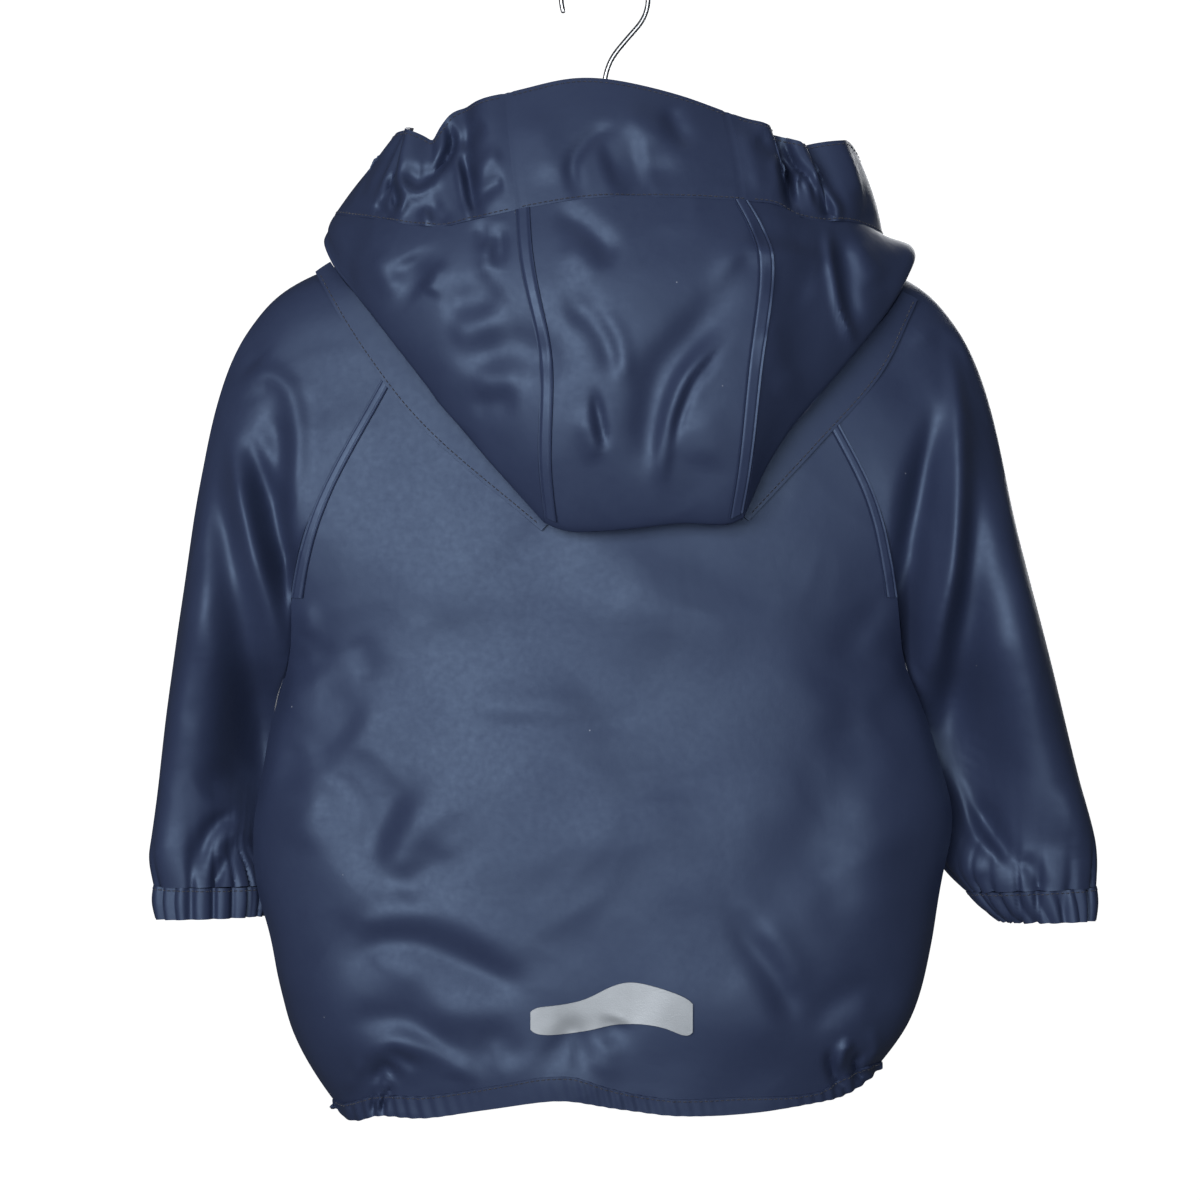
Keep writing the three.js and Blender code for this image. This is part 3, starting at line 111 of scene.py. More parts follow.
BRIM_FOLDS = [
    # gathers of the left elastic
    (3.2, -9, [(-96, -106.8, 0.6), (-91.8, -122.4), (-97.2, -135), (-106.8, -147, 0.6)]),
    (3.4, 4, [(-90.6, -127.2, 0.5), (-85.8, -146.4), (-81.6, -163.8), (-76.8, -172.2, 0.5)]),
    (4.2, -6, [(-86.4, -127.2), (-81.6, -142.2), (-79.8, -158.4), (-74.4, -171)]),
    (4.2, 3.4, [(-128.4, -136.2, 0.6), (-123, -147.6), (-113.4, -153.6), (-102, -146.4),
                (-91.8, -130.8, 0.6)]),
    (5.8, -4.2, [(-121.8, -135), (-111.6, -145.2), (-102, -136.2)]),
    (3.2, -8, [(-130.2, -139.2, 0.5), (-126.6, -152.4), (-125.4, -165)]),
    (3.2, 3.5, [(-118.2, -154.8), (-124.8, -166.8)]),
    (3.7, 3, [(-109.2, -163.2), (-104.4, -175.2)]),
    (4.2, -4.2, [(-148.2, -156), (-144.6, -137.4), (-133.2, -120)]),
    (4.2, -4.2, [(-140.4, -154.8), (-133.2, -165), (-128.4, -172.8)]),
    (4.7, -3.8, [(-87, -127.2), (-80.4, -119.4), (-73.2, -108.6)]),
    (4.2, -3, [(-78.6, -160.8), (-67.8, -151.2), (-59.4, -148.2)]),
    (5.2, 2.5, [(-79.2, -148.8), (-71.4, -137.4), (-60.6, -130.8)]),
    (5.2, -2.1, [(-105, -157.2), (-99, -166.2), (-91.8, -173.4)]),
    # the ring-shaped dent of the centre
    (4.2, -3, [(-12.6, -163.2), (-19.2, -146.4), (-18, -133.2), (-4.8, -119.4), (10.2, -115.2)]),
    (12.6, -3.4, [(-3, -140.4), (10.2, -136.2), (25.8, -133.2)]),
    (9.5, 2.5, [(7.8, -108), (24, -114), (34.2, -127.2)]),
    (6.3, -3, [(37.8, -100.8), (42.6, -115.2), (52.2, -128.4)]),
    (8.4, -2.1, [(3, -151.2), (21, -144), (46.2, -140.4)]),
    (7.4, -2.5, [(15, -164.4), (18.6, -154.8), (28.2, -148.8)]),
    (9.5, 1.7, [(-45, -103.2), (-36, -127.2), (-31.8, -151.2)]),
    # gathers of the right elastic
    (3.2, -11, [(105, -126, 0.5), (108.6, -139.2), (111, -150), (113.4, -168.6)]),
    (6.3, -4.2, [(90, -117, 0.5), (99, -124.2), (106.8, -132)]),
    (2.6, -7, [(107.4, -114.6), (113.4, -132), (124.2, -146.4), (129.6, -163.8)]),
    (3.2, 5, [(114.6, -166.8), (113.4, -149.4), (117, -141), (123.6, -146.4), (129, -160.2)]),
    (3.7, 5, [(123, -126), (131.4, -146.4), (140.4, -161.4), (134.4, -168.6)]),
    (3.2, -6, [(126.6, -139.2), (133.2, -157.8), (136.2, -166.8)]),
    (5.2, -2.5, [(154.2, -144), (157.8, -157.2), (160.2, -171.6)]),
    (6.3, 2.1, [(82.2, -109.2), (88.2, -133.2), (94.2, -157.2)]),
]

BACK_FOLDS = [
    # pulls from the left armpit
    (10, 2.1, [(-202.2, -460.8), (-181.2, -448.8), (-161.4, -430.2)]),
    (8.8, -2.1, [(-195, -427.2), (-179.4, -435.6), (-166.2, -421.2)]),
    (11.2, -2.4, [(-183, -498), (-162.6, -480.6), (-145.8, -447.6)]),
    (11.2, 1.8, [(-172.2, -504), (-151.8, -482.4), (-135, -456)]),
    (10, -1.8, [(-153, -418.8), (-145.8, -433.2), (-143.4, -448.8)]),
    (6.2, 1.8, [(-185.4, -400.8), (-179.4, -410.4), (-183, -420)]),
    (12.5, 1.8, [(-185.4, -550.8), (-177, -528), (-165, -505.2)]),
    (10, -2.1, [(-196.2, -517.2), (-191.4, -499.2), (-183, -484.2)]),
    # diagonals low on the left
    (11.2, -2.8, [(-144.6, -560.4), (-132.6, -532.8), (-115.8, -498)]),
    (11.2, 2.1, [(-131.4, -566.4), (-120.6, -540), (-106.2, -510)]),
    (10, -1.8, [(-125.4, -578.4), (-111, -560.4), (-93, -542.4)]),
    # the crease across the middle
    (8, -0.9, [(-93, -470.4), (-51, -473.4), (-3, -471.6), (43.8, -468)]),
    (11.2, 1.1, [(-87, -458.4), (-45, -461.4), (4.2, -458.4)]),
    (15, -1, [(-51, -511.2), (-9, -517.2), (33, -508.2)]),
    (15, 1, [(-27, -541.2), (9, -538.2), (51, -526.2)]),
    (20, 1.4, [(-105, -409.2), (-75, -397.2), (-39, -403.2)]),
    (20, -1.4, [(21, -397.2), (69, -391.2), (117, -403.2)]),
    # waves low on the left
    (11.2, 1.8, [(-167.4, -596.4), (-139.8, -585.6), (-105, -584.4), (-69, -598.2), (-34.2, -616.8)]),
    (10, -3.5, [(-150.6, -633.6, 0.6), (-145.8, -615), (-136.8, -603.6), (-111.6, -603), (-84, -613.8),
                (-56.4, -627.6), (-36, -636.6, 0.5)]),
    (11.2, 2.1, [(-136.8, -618), (-113.4, -626.4), (-90.6, -643.2), (-48, -645.6)]),
    (8.8, -2.8, [(-169.8, -664.8), (-148.2, -650.4), (-123, -649.2), (-106.8, -657.6), (-90.6, -672.6),
                 (-83.4, -684)]),
    (7.5, 3.1, [(-150.6, -688.8), (-145.8, -672.6), (-124.8, -663.6), (-102, -669), (-85.2, -680.4),
                (-88.2, -690)]),
    (4, -2.1, [(-133.2, -666), (-120.6, -673.8), (-112.2, -679.8)]),
    # puckers over the left hem elastic
    (4, -4.2, [(-139.8, -693.6), (-136.8, -684), (-130.8, -679.8), (-124.8, -691.2)]),
    (2.2, -4.5, [(-141.6, -711.6), (-139.2, -699), (-133.8, -690)]),
    (2.2, -4.5, [(-135.6, -710.4), (-133.8, -699), (-127.8, -690)]),
    (2.5, 3, [(-138.6, -709.2), (-136.2, -697.2), (-130.8, -688.8)]),
    (4, 2.1, [(-159, -697.2), (-151.8, -685.2), (-147, -673.2)]),
    # hollows beside and below the strip
    (10, -2.4, [(-76.2, -690), (-72.6, -670.8), (-65.4, -660.6), (-56.4, -669), (-48.6, -677.4)]),
    (7.5, -2.4, [(-43.2, -682.8), (-28.8, -667.8), (-19.2, -655.2), (-15, -669), (-9.6, -686.4)]),
    (8.8, 1.8, [(-5.4, -684), (0.6, -668.4), (8.4, -656.4)]),
    (7.5, -2.1, [(-1.2, -666), (4.8, -655.2), (7.8, -646.8)]),
    # the long diagonal on the right
    (8.8, -3.1, [(64.2, -565.2, 0.5), (82.8, -595.8), (97.2, -616.2), (105, -628.8), (111, -645.6),
                 (115.8, -672, 0.5)]),
    (10, 2.1, [(91.8, -584.4), (108, -610.2), (120.6, -638.4)]),
    (12.5, 1, [(76.8, -616.2), (91.8, -640.2), (102, -668.4)]),
    (17.5, 1.8, [(153, -535.2), (163.8, -565.2), (165, -601.2)]),
    (15, -1.8, [(129, -547.2), (139.8, -577.2), (138.6, -613.2)]),
    # puckers over the right hem elastic
    (10, -2.4, [(129, -665.4), (127.8, -650.4), (141.6, -638.4), (157.2, -632.4), (171, -640.8),
                (175.8, -652.8)]),
    (2.6, -6, [(154.8, -670.2), (152.4, -682.2), (159, -692.4)]),
    (3, -5, [(135.6, -667.8), (138, -683.4), (146.4, -697.2)]),
    (3.5, 4.5, [(141.6, -684.6), (144, -670.2), (151.2, -664.2)]),
    (4, 2.1, [(157.8, -684.6), (165.6, -670.8), (159.6, -655.2)]),
    (2.5, -4, [(160.8, -682.8), (169.8, -690)]),
    # pulls from the right armpit
    (10, 1.8, [(186, -392), (169.6, -412), (160, -436)]),
    (11.2, -1.8, [(176, -398), (154.8, -417), (138, -440)]),
    (11.2, 2, [(192, -424), (167.1, -447.9), (150, -478)]),
    (12.5, -1.8, [(180, -452), (151.5, -469.9), (128, -494)]),
    (13.8, 1.7, [(186, -482), (163.8, -508.4), (150, -540)]),
    (17.5, 1.1, [(60, -546), (92.9, -527.4), (130, -520)]),
    (17.5, -1.1, [(84, -580), (115.3, -564.3), (150, -560)]),
]

FRONT_FOLDS = [
    # pulls from the armpits
    (10, 2.1, [(-184, -392), (-163.8, -411.6), (-150, -436)]),
    (11.2, -2.1, [(-176, -384), (-153.7, -405), (-136, -430)]),
    (12.5, 2.1, [(-190, -430), (-164.9, -454.5), (-146, -484)]),
    (15, -2.1, [(-170, -470), (-136.2, -490.4), (-110, -520)]),
    (10, 2.1, [(186, -392), (168.6, -411.9), (158, -436)]),
    (11.2, -2.1, [(176, -392), (151.7, -417.1), (132, -446)]),
    (12.5, 2.1, [(190, -430), (164, -457), (146, -490)]),
    (15, -2.1, [(170, -480), (138.5, -506), (116, -540)]),
    # long slack folds
    (16.2, 2.1, [(-120, -500), (-127.4, -547.5), (-150, -590)]),
    (15, -1.8, [(-96, -520), (-101.2, -566.4), (-118, -610)]),
    (15, 1.8, [(130, -540), (135.2, -581.6), (152, -620)]),
    (15, 1.4, [(-60, -560), (-53.9, -605.9), (-40, -650)]),
    (15, 1.4, [(60, -540), (59, -590.4), (50, -640)]),
    (15, 1.5, [(-70, -260), (-76.2, -301.3), (-92, -340)]),
    (15, -1.5, [(72, -256), (79.2, -294.5), (96, -330)]),
    (13.8, 1.3, [(-60, -420), (-44.3, -443.6), (-34, -470)]),
    (13.8, -1.3, [(48, -400), (39, -434.5), (36, -470)]),
    # puckers over the hem elastic
    (4, -2.8, [(-138, -702), (-148.9, -672), (-150, -640)]),
    (4, 2.4, [(-132, -702), (-124, -671.5), (-124, -640)]),
    (6.2, -2.4, [(-124, -702), (-107.5, -678.1), (-100, -650)]),
    (4, -2.8, [(150, -690), (158, -662.6), (158, -634)]),
    (4, 2.4, [(144, -692), (140, -663.1), (140, -634)]),
    (6.2, -2.4, [(136, -694), (120.4, -670.7), (112, -644)]),
]

SLEEVE_LEFT_BACK_FOLDS = [
    # the long valley that opens into the hollow beside the body
    (14.6, -21.2, [(-228.6, -282, 0.1), (-235.8, -307.2, 0.2), (-234.6, -337.2, 0.3), (-229.8, -361.2, 0.42),
                   (-224.4, -391.2, 0.6), (-220.2, -421.2, 0.8), (-217.2, -457.2), (-216.6, -493.2),
                   (-216.6, -524.4, 0.8), (-214.8, -548.4, 0.4)]),
    # the wedge under the arm
    (7.8, -12.8, [(-220.2, -291.6, 0.2), (-211.8, -313.2, 0.6), (-205.8, -334.2), (-199.8, -358.2),
                  (-194.4, -379.2, 0.9), (-190.2, -404.4, 0.5)]),
    # the tongue between them, which ends at the armpit
    (6.7, 6, [(-230.4, -289.2, 0.4), (-225, -315, 0.7), (-216.6, -347.4), (-208.8, -377.4), (-200.4, -412.8),
              (-195, -447.6, 0.6)]),
    # the arch over the upper arm, and the dent in it
    (6.7, 3.4, [(-230.4, -280.8, 0.4), (-219, -265.2), (-205.8, -259.2), (-192.6, -270), (-187.2, -295.2),
                (-189, -337.2), (-188.4, -374.4, 0.4)]),
    (7.8, -4.2, [(-207, -276), (-198.6, -301.2), (-197.4, -331.2), (-192, -362.4, 0.6)]),
    (10.1, -2.1, [(-221.4, -234), (-217.2, -247.2), (-211.8, -254.4)]),
    (9, 2.1, [(-216.6, -230.4), (-226.2, -254.4), (-231, -278.4)]),
    # slack above the cuff
    (5, -4.2, [(-252, -573.6), (-247.8, -547.2), (-238.2, -532.8), (-226.2, -530.4)]),
    (6.7, 4.2, [(-243, -567.6), (-235.8, -547.2), (-226.2, -542.4), (-220.8, -560.4)]),
    (3.5, -4, [(-239.4, -577.2), (-235.2, -554.4)]),
    (11.2, -4.2, [(-246.6, -518.4), (-234, -508.2), (-222.6, -498)]),
    # swellings down the outer side
    (17.9, 2.5, [(-253.8, -337.2), (-259.8, -421.2), (-268.2, -499.2)]),
    (10.1, -1.7, [(-251.4, -409.2), (-247.8, -451.2), (-251.4, -481.2)]),
]

SLEEVE_RIGHT_BACK_FOLDS = [
    # the wedge under the arm
    (10.1, -15.3, [(202.8, -265.2, 0.15), (198.6, -295.2, 0.5), (191.4, -331.2, 0.8), (185.4, -367.2),
                   (181.2, -403.2), (185.4, -433.2, 0.8), (195, -452.4, 0.4)]),
    # the tongue from the shoulder to the armpit
    (6.7, 6.3, [(207.6, -230.4, 0.4), (213.6, -259.2, 0.7), (215.4, -295.2), (214.2, -337.2), (211.8, -373.2),
                (205.8, -409.2), (198.6, -446.4, 0.6)]),
    (6.7, 2.7, [(180.6, -249.6, 0.4), (193.8, -235.2), (207.6, -230.4), (222, -242.4), (228.6, -267.6, 0.5)]),
    # the valley beyond it, which opens into the hollow beside the body
    (14.6, -20.7, [(223.8, -292.2, 0.12), (224.4, -337.2, 0.25), (222, -373.2, 0.45), (219, -409.2, 0.8),
                   (216.6, -445.2), (213.6, -478.2), (210, -508.2, 0.6)]),
    # slack above the cuff
    (5.6, 4.5, [(211.2, -495, 0.5), (220.2, -517.2), (228.6, -541.2), (241.8, -554.4), (255.6, -568.8, 0.5)]),
    (6.7, -6.3, [(227.4, -514.8, 0.5), (237, -534), (245.4, -550.8), (252, -571.2, 0.6)]),
    (9, 2.7, [(213, -534), (225, -556.2), (231, -572.4)]),
    (5.6, -3.6, [(267, -580.2), (263.4, -565.2), (255, -552)]),
    # swellings down the outer side
    (17.9, 2.7, [(240, -301.2), (252, -397.2), (268.2, -484.2)]),
    (10.1, -1.8, [(237, -349.2), (246, -409.2), (256.2, -460.2)]),
    (10.1, 2.7, [(283.8, -508.8), (291.6, -555.6)]),
]

SLEEVE_LEFT_FRONT_FOLDS = [
    # long valleys and the swelling between them
    (11.5, -9.6, [(-222, -250, 0.25), (-230, -320, 0.6), (-220, -390, 0.9), (-218, -470), (-222, -545, 0.5)]),
    (6.9, -7.2, [(-208, -300, 0.5), (-198, -360), (-194, -420, 0.7)]),
    (6.9, 3.2, [(-216, -290, 0.7), (-210, -360), (-200, -430, 0.5)]),
    (17.2, 2.4, [(-250, -340), (-258, -440), (-264, -530)]),
    (8, -3.2, [(-246, -520), (-256, -560)]),
]

SLEEVE_RIGHT_FRONT_FOLDS = [
    # long valleys and the swelling between them
    (11.5, -9.6, [(214, -250, 0.25), (224, -320, 0.6), (220, -400, 0.9), (218, -480), (226, -545, 0.5)]),
    (6.9, -7.2, [(200, -300, 0.5), (192, -360), (190, -420, 0.7)]),
    (6.9, 3.2, [(210, -290, 0.7), (208, -360), (200, -430, 0.5)]),
    (17.2, 2.4, [(244, -320), (256, -430), (276, -530)]),
    (8, -3.2, [(252, -520), (266, -560)]),
]


def srgb(code):
    """A hex colour such as 2a3654 as linear red, green and blue."""
    channels = [int(code[at:at + 2], 16) / 255 for at in (0, 2, 4)]
    return [c / 12.92 if c <= 0.04045 else ((c + 0.055) / 1.055) ** 2.4 for c in channels]


def size_property(name, description, size, low, high):
    """A size that a user would change, and its bounds, all in millimetres."""
    return bpy.props.FloatProperty(name=name, description=description, default=size * MM, min=low * MM,
                                   max=high * MM, unit="LENGTH", precision=4)


def colour_property(name, description, code):
    """A colour that a user would change."""
    return bpy.props.FloatVectorProperty(name=name, description=description, default=srgb(code), size=3,
                                         min=0, max=1, subtype="COLOR")


class RaincoatSizes(bpy.types.PropertyGroup):
    """Sizes that a user would change."""

    shell: size_property("Cloth", "Thickness of the coated cloth", 1.1, 0.5, 3)
    folded_edge: size_property("Folded edge", "Thickness where the cloth is folded and sewn", 2.0, 1, 4)
    stitch: size_property("Stitch", "Length of one stitch", 2.6, 1, 6)
    stitch_step: size_property("Stitch spacing", "From one stitch to the next", 3.3, 1, 10)
    thread: size_property("Thread", "Thickness of the sewing thread", 0.7, 0.2, 1)


class RaincoatColours(bpy.types.PropertyGroup):
    """Colours that a user would change."""

    cloth: colour_property("Coated cloth", "Colour of the coating", "283049")
    backing: colour_property("Backing", "Colour of the knitted backing", "262d42")
    film: colour_property("Reflective film", "Colour of the reflective strip", "9ba1a8")
    thread: colour_property("Thread", "Colour of the sewing thread", "161c30")
    wood: colour_property("Wood", "Colour of the hanger's wood", "c79a63")
    snap: colour_property("Snaps", "Colour of the snap caps", "232c45")


def sizes():
    return bpy.context.scene.raincoat_sizes


def colours():
    return bpy.context.scene.raincoat_colours


def add_node(tree, kind, inputs=None, **settings):
    """A node with its settings, and its sockets set to values or linked to other sockets."""
    made = tree.nodes.new(kind)
    for key, value in settings.items():
        setattr(made, key, value)
    for key, value in (inputs or {}).items():
        set_socket(tree, made, key, value)
    return made


def set_socket(tree, node, key, value):
    """Sets a node's socket to a value, or links another socket to it."""
    if isinstance(value, bpy.types.NodeSocket):
        tree.links.new(value, node.inputs[key])
    else:
        node.inputs[key].default_value = value


def new_material(name):
    """An empty material with its shader, and the Object coordinates in metres."""
    made = bpy.data.materials.new(name)
    made.use_nodes = True
    tree = made.node_tree
    shader = tree.nodes["Principled BSDF"]
    place = add_node(tree, "ShaderNodeTexCoord").outputs["Object"]
    return made, tree, shader, place


def noise(tree, place, size, detail=3.0, roughness=0.5):
    """A noise whose features are about size millimetres across."""
    return add_node(tree, "ShaderNodeTexNoise",
                    {"Vector": place, "Scale": 1000 / size, "Detail": detail, "Roughness": roughness}
                    ).outputs["Fac"]


def cells(tree, place, size):
    """The distances from the middles of cells about size millimetres apart."""
    return add_node(tree, "ShaderNodeTexVoronoi", {"Vector": place, "Scale": 1000 / size}).outputs["Distance"]


def ramp(tree, factor, low, high, from_min=0.0, from_max=1.0):
    """factor stretched to run from low to high."""
    return add_node(tree, "ShaderNodeMapRange",
                    {"Value": factor, "From Min": from_min, "From Max": from_max,
                     "To Min": low, "To Max": high}).outputs["Result"]


def tinted(tree, factor, base, dark, light):
    """The base colour, darker or lighter by the factor."""
    mixed = add_node(tree, "ShaderNodeMix", {"Factor": factor}, data_type="RGBA", blend_type="MIX")
    mixed.inputs["A"].default_value = (*(c * dark for c in base[:3]), 1)
    mixed.inputs["B"].default_value = (*(c * light for c in base[:3]), 1)
    return mixed.outputs["Result"]


def finished(tree, shader, sockets, layers):
    """Sets the shader's sockets, and lays its bumps, each (height socket, depth in mm), one on another."""
    for key, value in sockets.items():
        set_socket(tree, shader, key, value)
    normal = None
    for height, depth in layers:
        inputs = {"Height": height, "Distance": depth * MM, "Strength": 1.0}
        if normal is not None:
            inputs["Normal"] = normal
        normal = add_node(tree, "ShaderNodeBump", inputs).outputs["Normal"]
    tree.links.new(normal, shader.inputs["Normal"])


# The coated cloth's patterns: how far across they are, and how deep, in millimetres
CLOUD_SIZE = 60
GRAIN_SIZE = 4
CRUMPLE_SIZE = 22
CRUMPLE_DEPTH = 0.3
DRAG_SIZE = 5
DRAG_DEPTH = 0.04
KNIT_PITCH = 0.9
KNIT_DEPTH = 0.012
SPECK_SPACING = 28
# How far a speck of dust reaches, as shares of that spacing, and how much it covers
SPECK_CORE = 0.008
SPECK_EDGE = 0.02
SPECK_COVER = 0.5
DUST = "b3b8c4"
# The blue cast of the coating's highlights
SATIN = "bcdaff"
CLOTH_ROUGHNESS = 0.48
TAPE_ROUGHNESS = 0.42
RUBBED = 0.06
DULLED = 0.07
TAPE_SHADE = 1.04


def coated_cloth_material(name, colour, roughness):
    """Polyurethane coating on a knit: a satin skin with soft highlights, faint rubs and the knit under it."""
    made, tree, shader, place = new_material(name)
    cloudy = noise(tree, place, CLOUD_SIZE, 4)
    grain = noise(tree, place, GRAIN_SIZE, 3)
    base = tinted(tree, cloudy, colour, 0.9, 1.1)
    dust = ramp(tree, cells(tree, place, SPECK_SPACING), SPECK_COVER, 0.0, SPECK_CORE, SPECK_EDGE)
    dusty = add_node(tree, "ShaderNodeMix", {"Factor": dust}, data_type="RGBA")
    tree.links.new(base, dusty.inputs["A"])
    dusty.inputs["B"].default_value = (*srgb(DUST), 1)
    rub = add_node(tree, "ShaderNodeMath", {0: cloudy, 1: grain}, operation="ADD").outputs["Value"]
    finished(tree, shader, {
        "Base Color": dusty.outputs["Result"],
        "Roughness": ramp(tree, rub, roughness - RUBBED, roughness + DULLED, 0.6, 1.4),
        "IOR": 1.5,
        "Specular Tint": (*srgb(SATIN), 1),
    }, [
        (noise(tree, place, CRUMPLE_SIZE, 4, 0.45), CRUMPLE_DEPTH),
        (noise(tree, place, DRAG_SIZE, 2, 0.5), DRAG_DEPTH),
        (noise(tree, place, KNIT_PITCH, 1, 0.4), KNIT_DEPTH),
    ])
    return made


LOOP_DEPTH = 0.12


def knit_backing_material():
    """Brushed polyester knit on the coating's inner face: quite matt, with a short nap."""
    made, tree, shader, place = new_material("knit_backing")
    loops = cells(tree, place, KNIT_PITCH)
    finished(tree, shader, {
        "Base Color": tinted(tree, loops, colours().backing, 1.15, 0.8),
        "Roughness": 0.9,
        "Sheen Weight": 0.3,
    }, [(loops, LOOP_DEPTH)])
    return made


# The beads are far finer; they are drawn this coarse so that the strip looks grainy
BEAD_PITCH = 0.8
BEAD_DEPTH = 0.05
FILM_CLOUD = 12
FILM_DEPTH = 0.15


def retroreflective_film_material():
    """Glass-bead transfer film: a silver grey skin of beads, even and slightly grainy."""
    made, tree, shader, place = new_material("retroreflective_film")
    beads = cells(tree, place, BEAD_PITCH)
    cloudy = noise(tree, place, FILM_CLOUD, 3)
    finished(tree, shader, {
        "Base Color": tinted(tree, cloudy, colours().film, 0.9, 1.08),
        "Metallic": 0.35,
        "Roughness": 0.5,
    }, [(beads, BEAD_DEPTH), (cloudy, FILM_DEPTH)])
    return made


PLY_PITCH = 0.5
PLY_DEPTH = 0.05


def thread_material():
    """Polyester sewing thread: two plies twisted, with a slight gloss."""
    made, tree, shader, place = new_material("polyester_thread")
    twist = add_node(tree, "ShaderNodeTexWave",
                     {"Vector": place, "Scale": 1000 / PLY_PITCH, "Distortion": 0.4},
                     bands_direction="DIAGONAL").outputs["Fac"]
    finished(tree, shader, {
        "Base Color": tinted(tree, twist, colours().thread, 0.75, 1.25),
        "Roughness": 0.55,
        "Sheen Weight": 0.2,
    }, [(twist, PLY_DEPTH)])
    return made


HAZE_SIZE = 3
HAZE_DEPTH = 0.02


def snap_material():
    """Moulded acetal snap caps: even colour, satin, with a faint moulding haze."""
    made, tree, shader, place = new_material("moulded_acetal")
    haze = noise(tree, place, HAZE_SIZE, 3)
    finished(tree, shader, {
        "Base Color": tinted(tree, haze, colours().snap, 0.92, 1.08),
        "Roughness": ramp(tree, haze, 0.3, 0.42),
    }, [(haze, HAZE_DEPTH)])
    return made


# The grain is drawn out along the arms by this share
GRAIN_STRETCH = 0.08
WOOD_GRAIN = 2.2
WOOD_GRAIN_DEPTH = 0.05
FLECK_SIZE = 2.5


def beech_material():
    """Lacquered beech: warm grain along the arms, short dark flecks and a satin lacquer."""
    made, tree, shader, place = new_material("lacquered_beech")
    along = add_node(tree, "ShaderNodeMapping", {"Vector": place, "Scale": (GRAIN_STRETCH, 1.0, 1.0)}
                     ).outputs["Vector"]
    grain = noise(tree, along, WOOD_GRAIN, 5, 0.6)
    flecks = cells(tree, along, FLECK_SIZE)
    both = add_node(tree, "ShaderNodeMath", {0: grain, 1: flecks}, operation="MULTIPLY").outputs["Value"]
    finished(tree, shader, {
        "Base Color": tinted(tree, ramp(tree, both, 0, 1, 0.05, 0.4), colours().wood, 0.72, 1.12),
        "Roughness": ramp(tree, grain, 0.32, 0.48),
        "Coat Weight": 0.4,
        "Coat Roughness": 0.2,
    }, [(grain, WOOD_GRAIN_DEPTH)])
    return made


CHROME = "b9bcc0"
DRAWING_LINES = 0.8
DRAWING_DEPTH = 0.01


def plated_wire_material():
    """Chrome-plated steel wire: a bright mirror with faint drawing lines."""
    made, tree, shader, place = new_material("chrome_plated_steel")
    lines = noise(tree, place, DRAWING_LINES, 2)
    finished(tree, shader, {
        "Metallic": 1.0,
        "Base Color": tinted(tree, lines, srgb(CHROME), 0.94, 1.04),
        "Roughness": ramp(tree, lines, 0.12, 0.2),
    }, [(lines, DRAWING_DEPTH)])
    return made


_made = {}


def materials():
    """All finishes by their short names, made once."""
    if not _made:
        cloth = colours().cloth
        _made["cloth"] = coated_cloth_material("coated_cloth", cloth, CLOTH_ROUGHNESS)
        _made["tape"] = coated_cloth_material("welded_tape", [c * TAPE_SHADE for c in cloth], TAPE_ROUGHNESS)
        _made["backing"] = knit_backing_material()
        _made["film"] = retroreflective_film_material()
        _made["thread"] = thread_material()
        _made["snap"] = snap_material()
        _made["wood"] = beech_material()
        _made["wire"] = plated_wire_material()
    return _made


def activate(obj):
    """Only this object is selected, and it is the active one."""
    bpy.ops.object.select_all(action="DESELECT")
    obj.select_set(True)
    bpy.context.view_layer.objects.active = obj


def new_object(name, mesh):
    """A new object in the scene, selected and active."""
    made = bpy.data.objects.new(name, mesh)
    bpy.context.scene.collection.objects.link(made)
    activate(made)
    return made


def apply_modifier(obj, kind, **settings):
    """Adds a modifier and applies it."""
    activate(obj)
    bpy.ops.object.modifier_add(type=kind)
    modifier = obj.modifiers[-1]
    for key, value in settings.items():
        setattr(modifier, key, value)
    bpy.ops.object.modifier_apply(modifier=modifier.name)


def put_on_frame(piece, node):
    """Puts a finished piece on the frame in its solid's place."""
    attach(piece, "root")
    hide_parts(node)


def connected_faces(faces):
    """The faces in groups that hang together."""
    left = set(faces)
    groups = []
    while left:
        group = [left.pop()]
        for face in group:
            for edge in face.edges:
                for other in edge.link_faces:
                    if other in left:
                        left.remove(other)
                        group.append(other)
        groups.append(group)
    return groups


RIM_TOLERANCE = 0.012
MERGED = 0.01
QUAD_ANGLE = math.radians(80)


def rim_faces(mesh, wall):
    """The triangles of a wall's rim: a closed strip, each with an edge as long as the wall is thick."""
    rim = {face for edge in mesh.edges if abs(edge.calc_length() - wall * MM) < RIM_TOLERANCE * MM
           for face in edge.link_faces}
    while True:
        stray = {face for face in rim
                 if sum(other != face and other in rim
                        for edge in face.edges for other in edge.link_faces) < 2}
        if not stray:
            return list(rim)
        rim -= stray


def open_copy(node, name):
    """A bare copy of one of the frame's solids, open in edit mode with its points merged."""
    made = new_object(name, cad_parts[node].data.copy())
    made.data.materials.clear()
    bpy.ops.object.mode_set(mode="EDIT")
    bpy.ops.mesh.select_all(action="SELECT")
    bpy.ops.mesh.remove_doubles(threshold=MERGED * MM)
    bpy.ops.mesh.customdata_custom_splitnormals_clear()
    return made


def close_as_quads():
    """Pairs the open mesh's triangles, and leaves edit mode."""
    bpy.ops.mesh.select_all(action="SELECT")
    bpy.ops.mesh.tris_convert_to_quads(face_threshold=QUAD_ANGLE, shape_threshold=QUAD_ANGLE)
    bpy.ops.object.mode_set(mode="OBJECT")


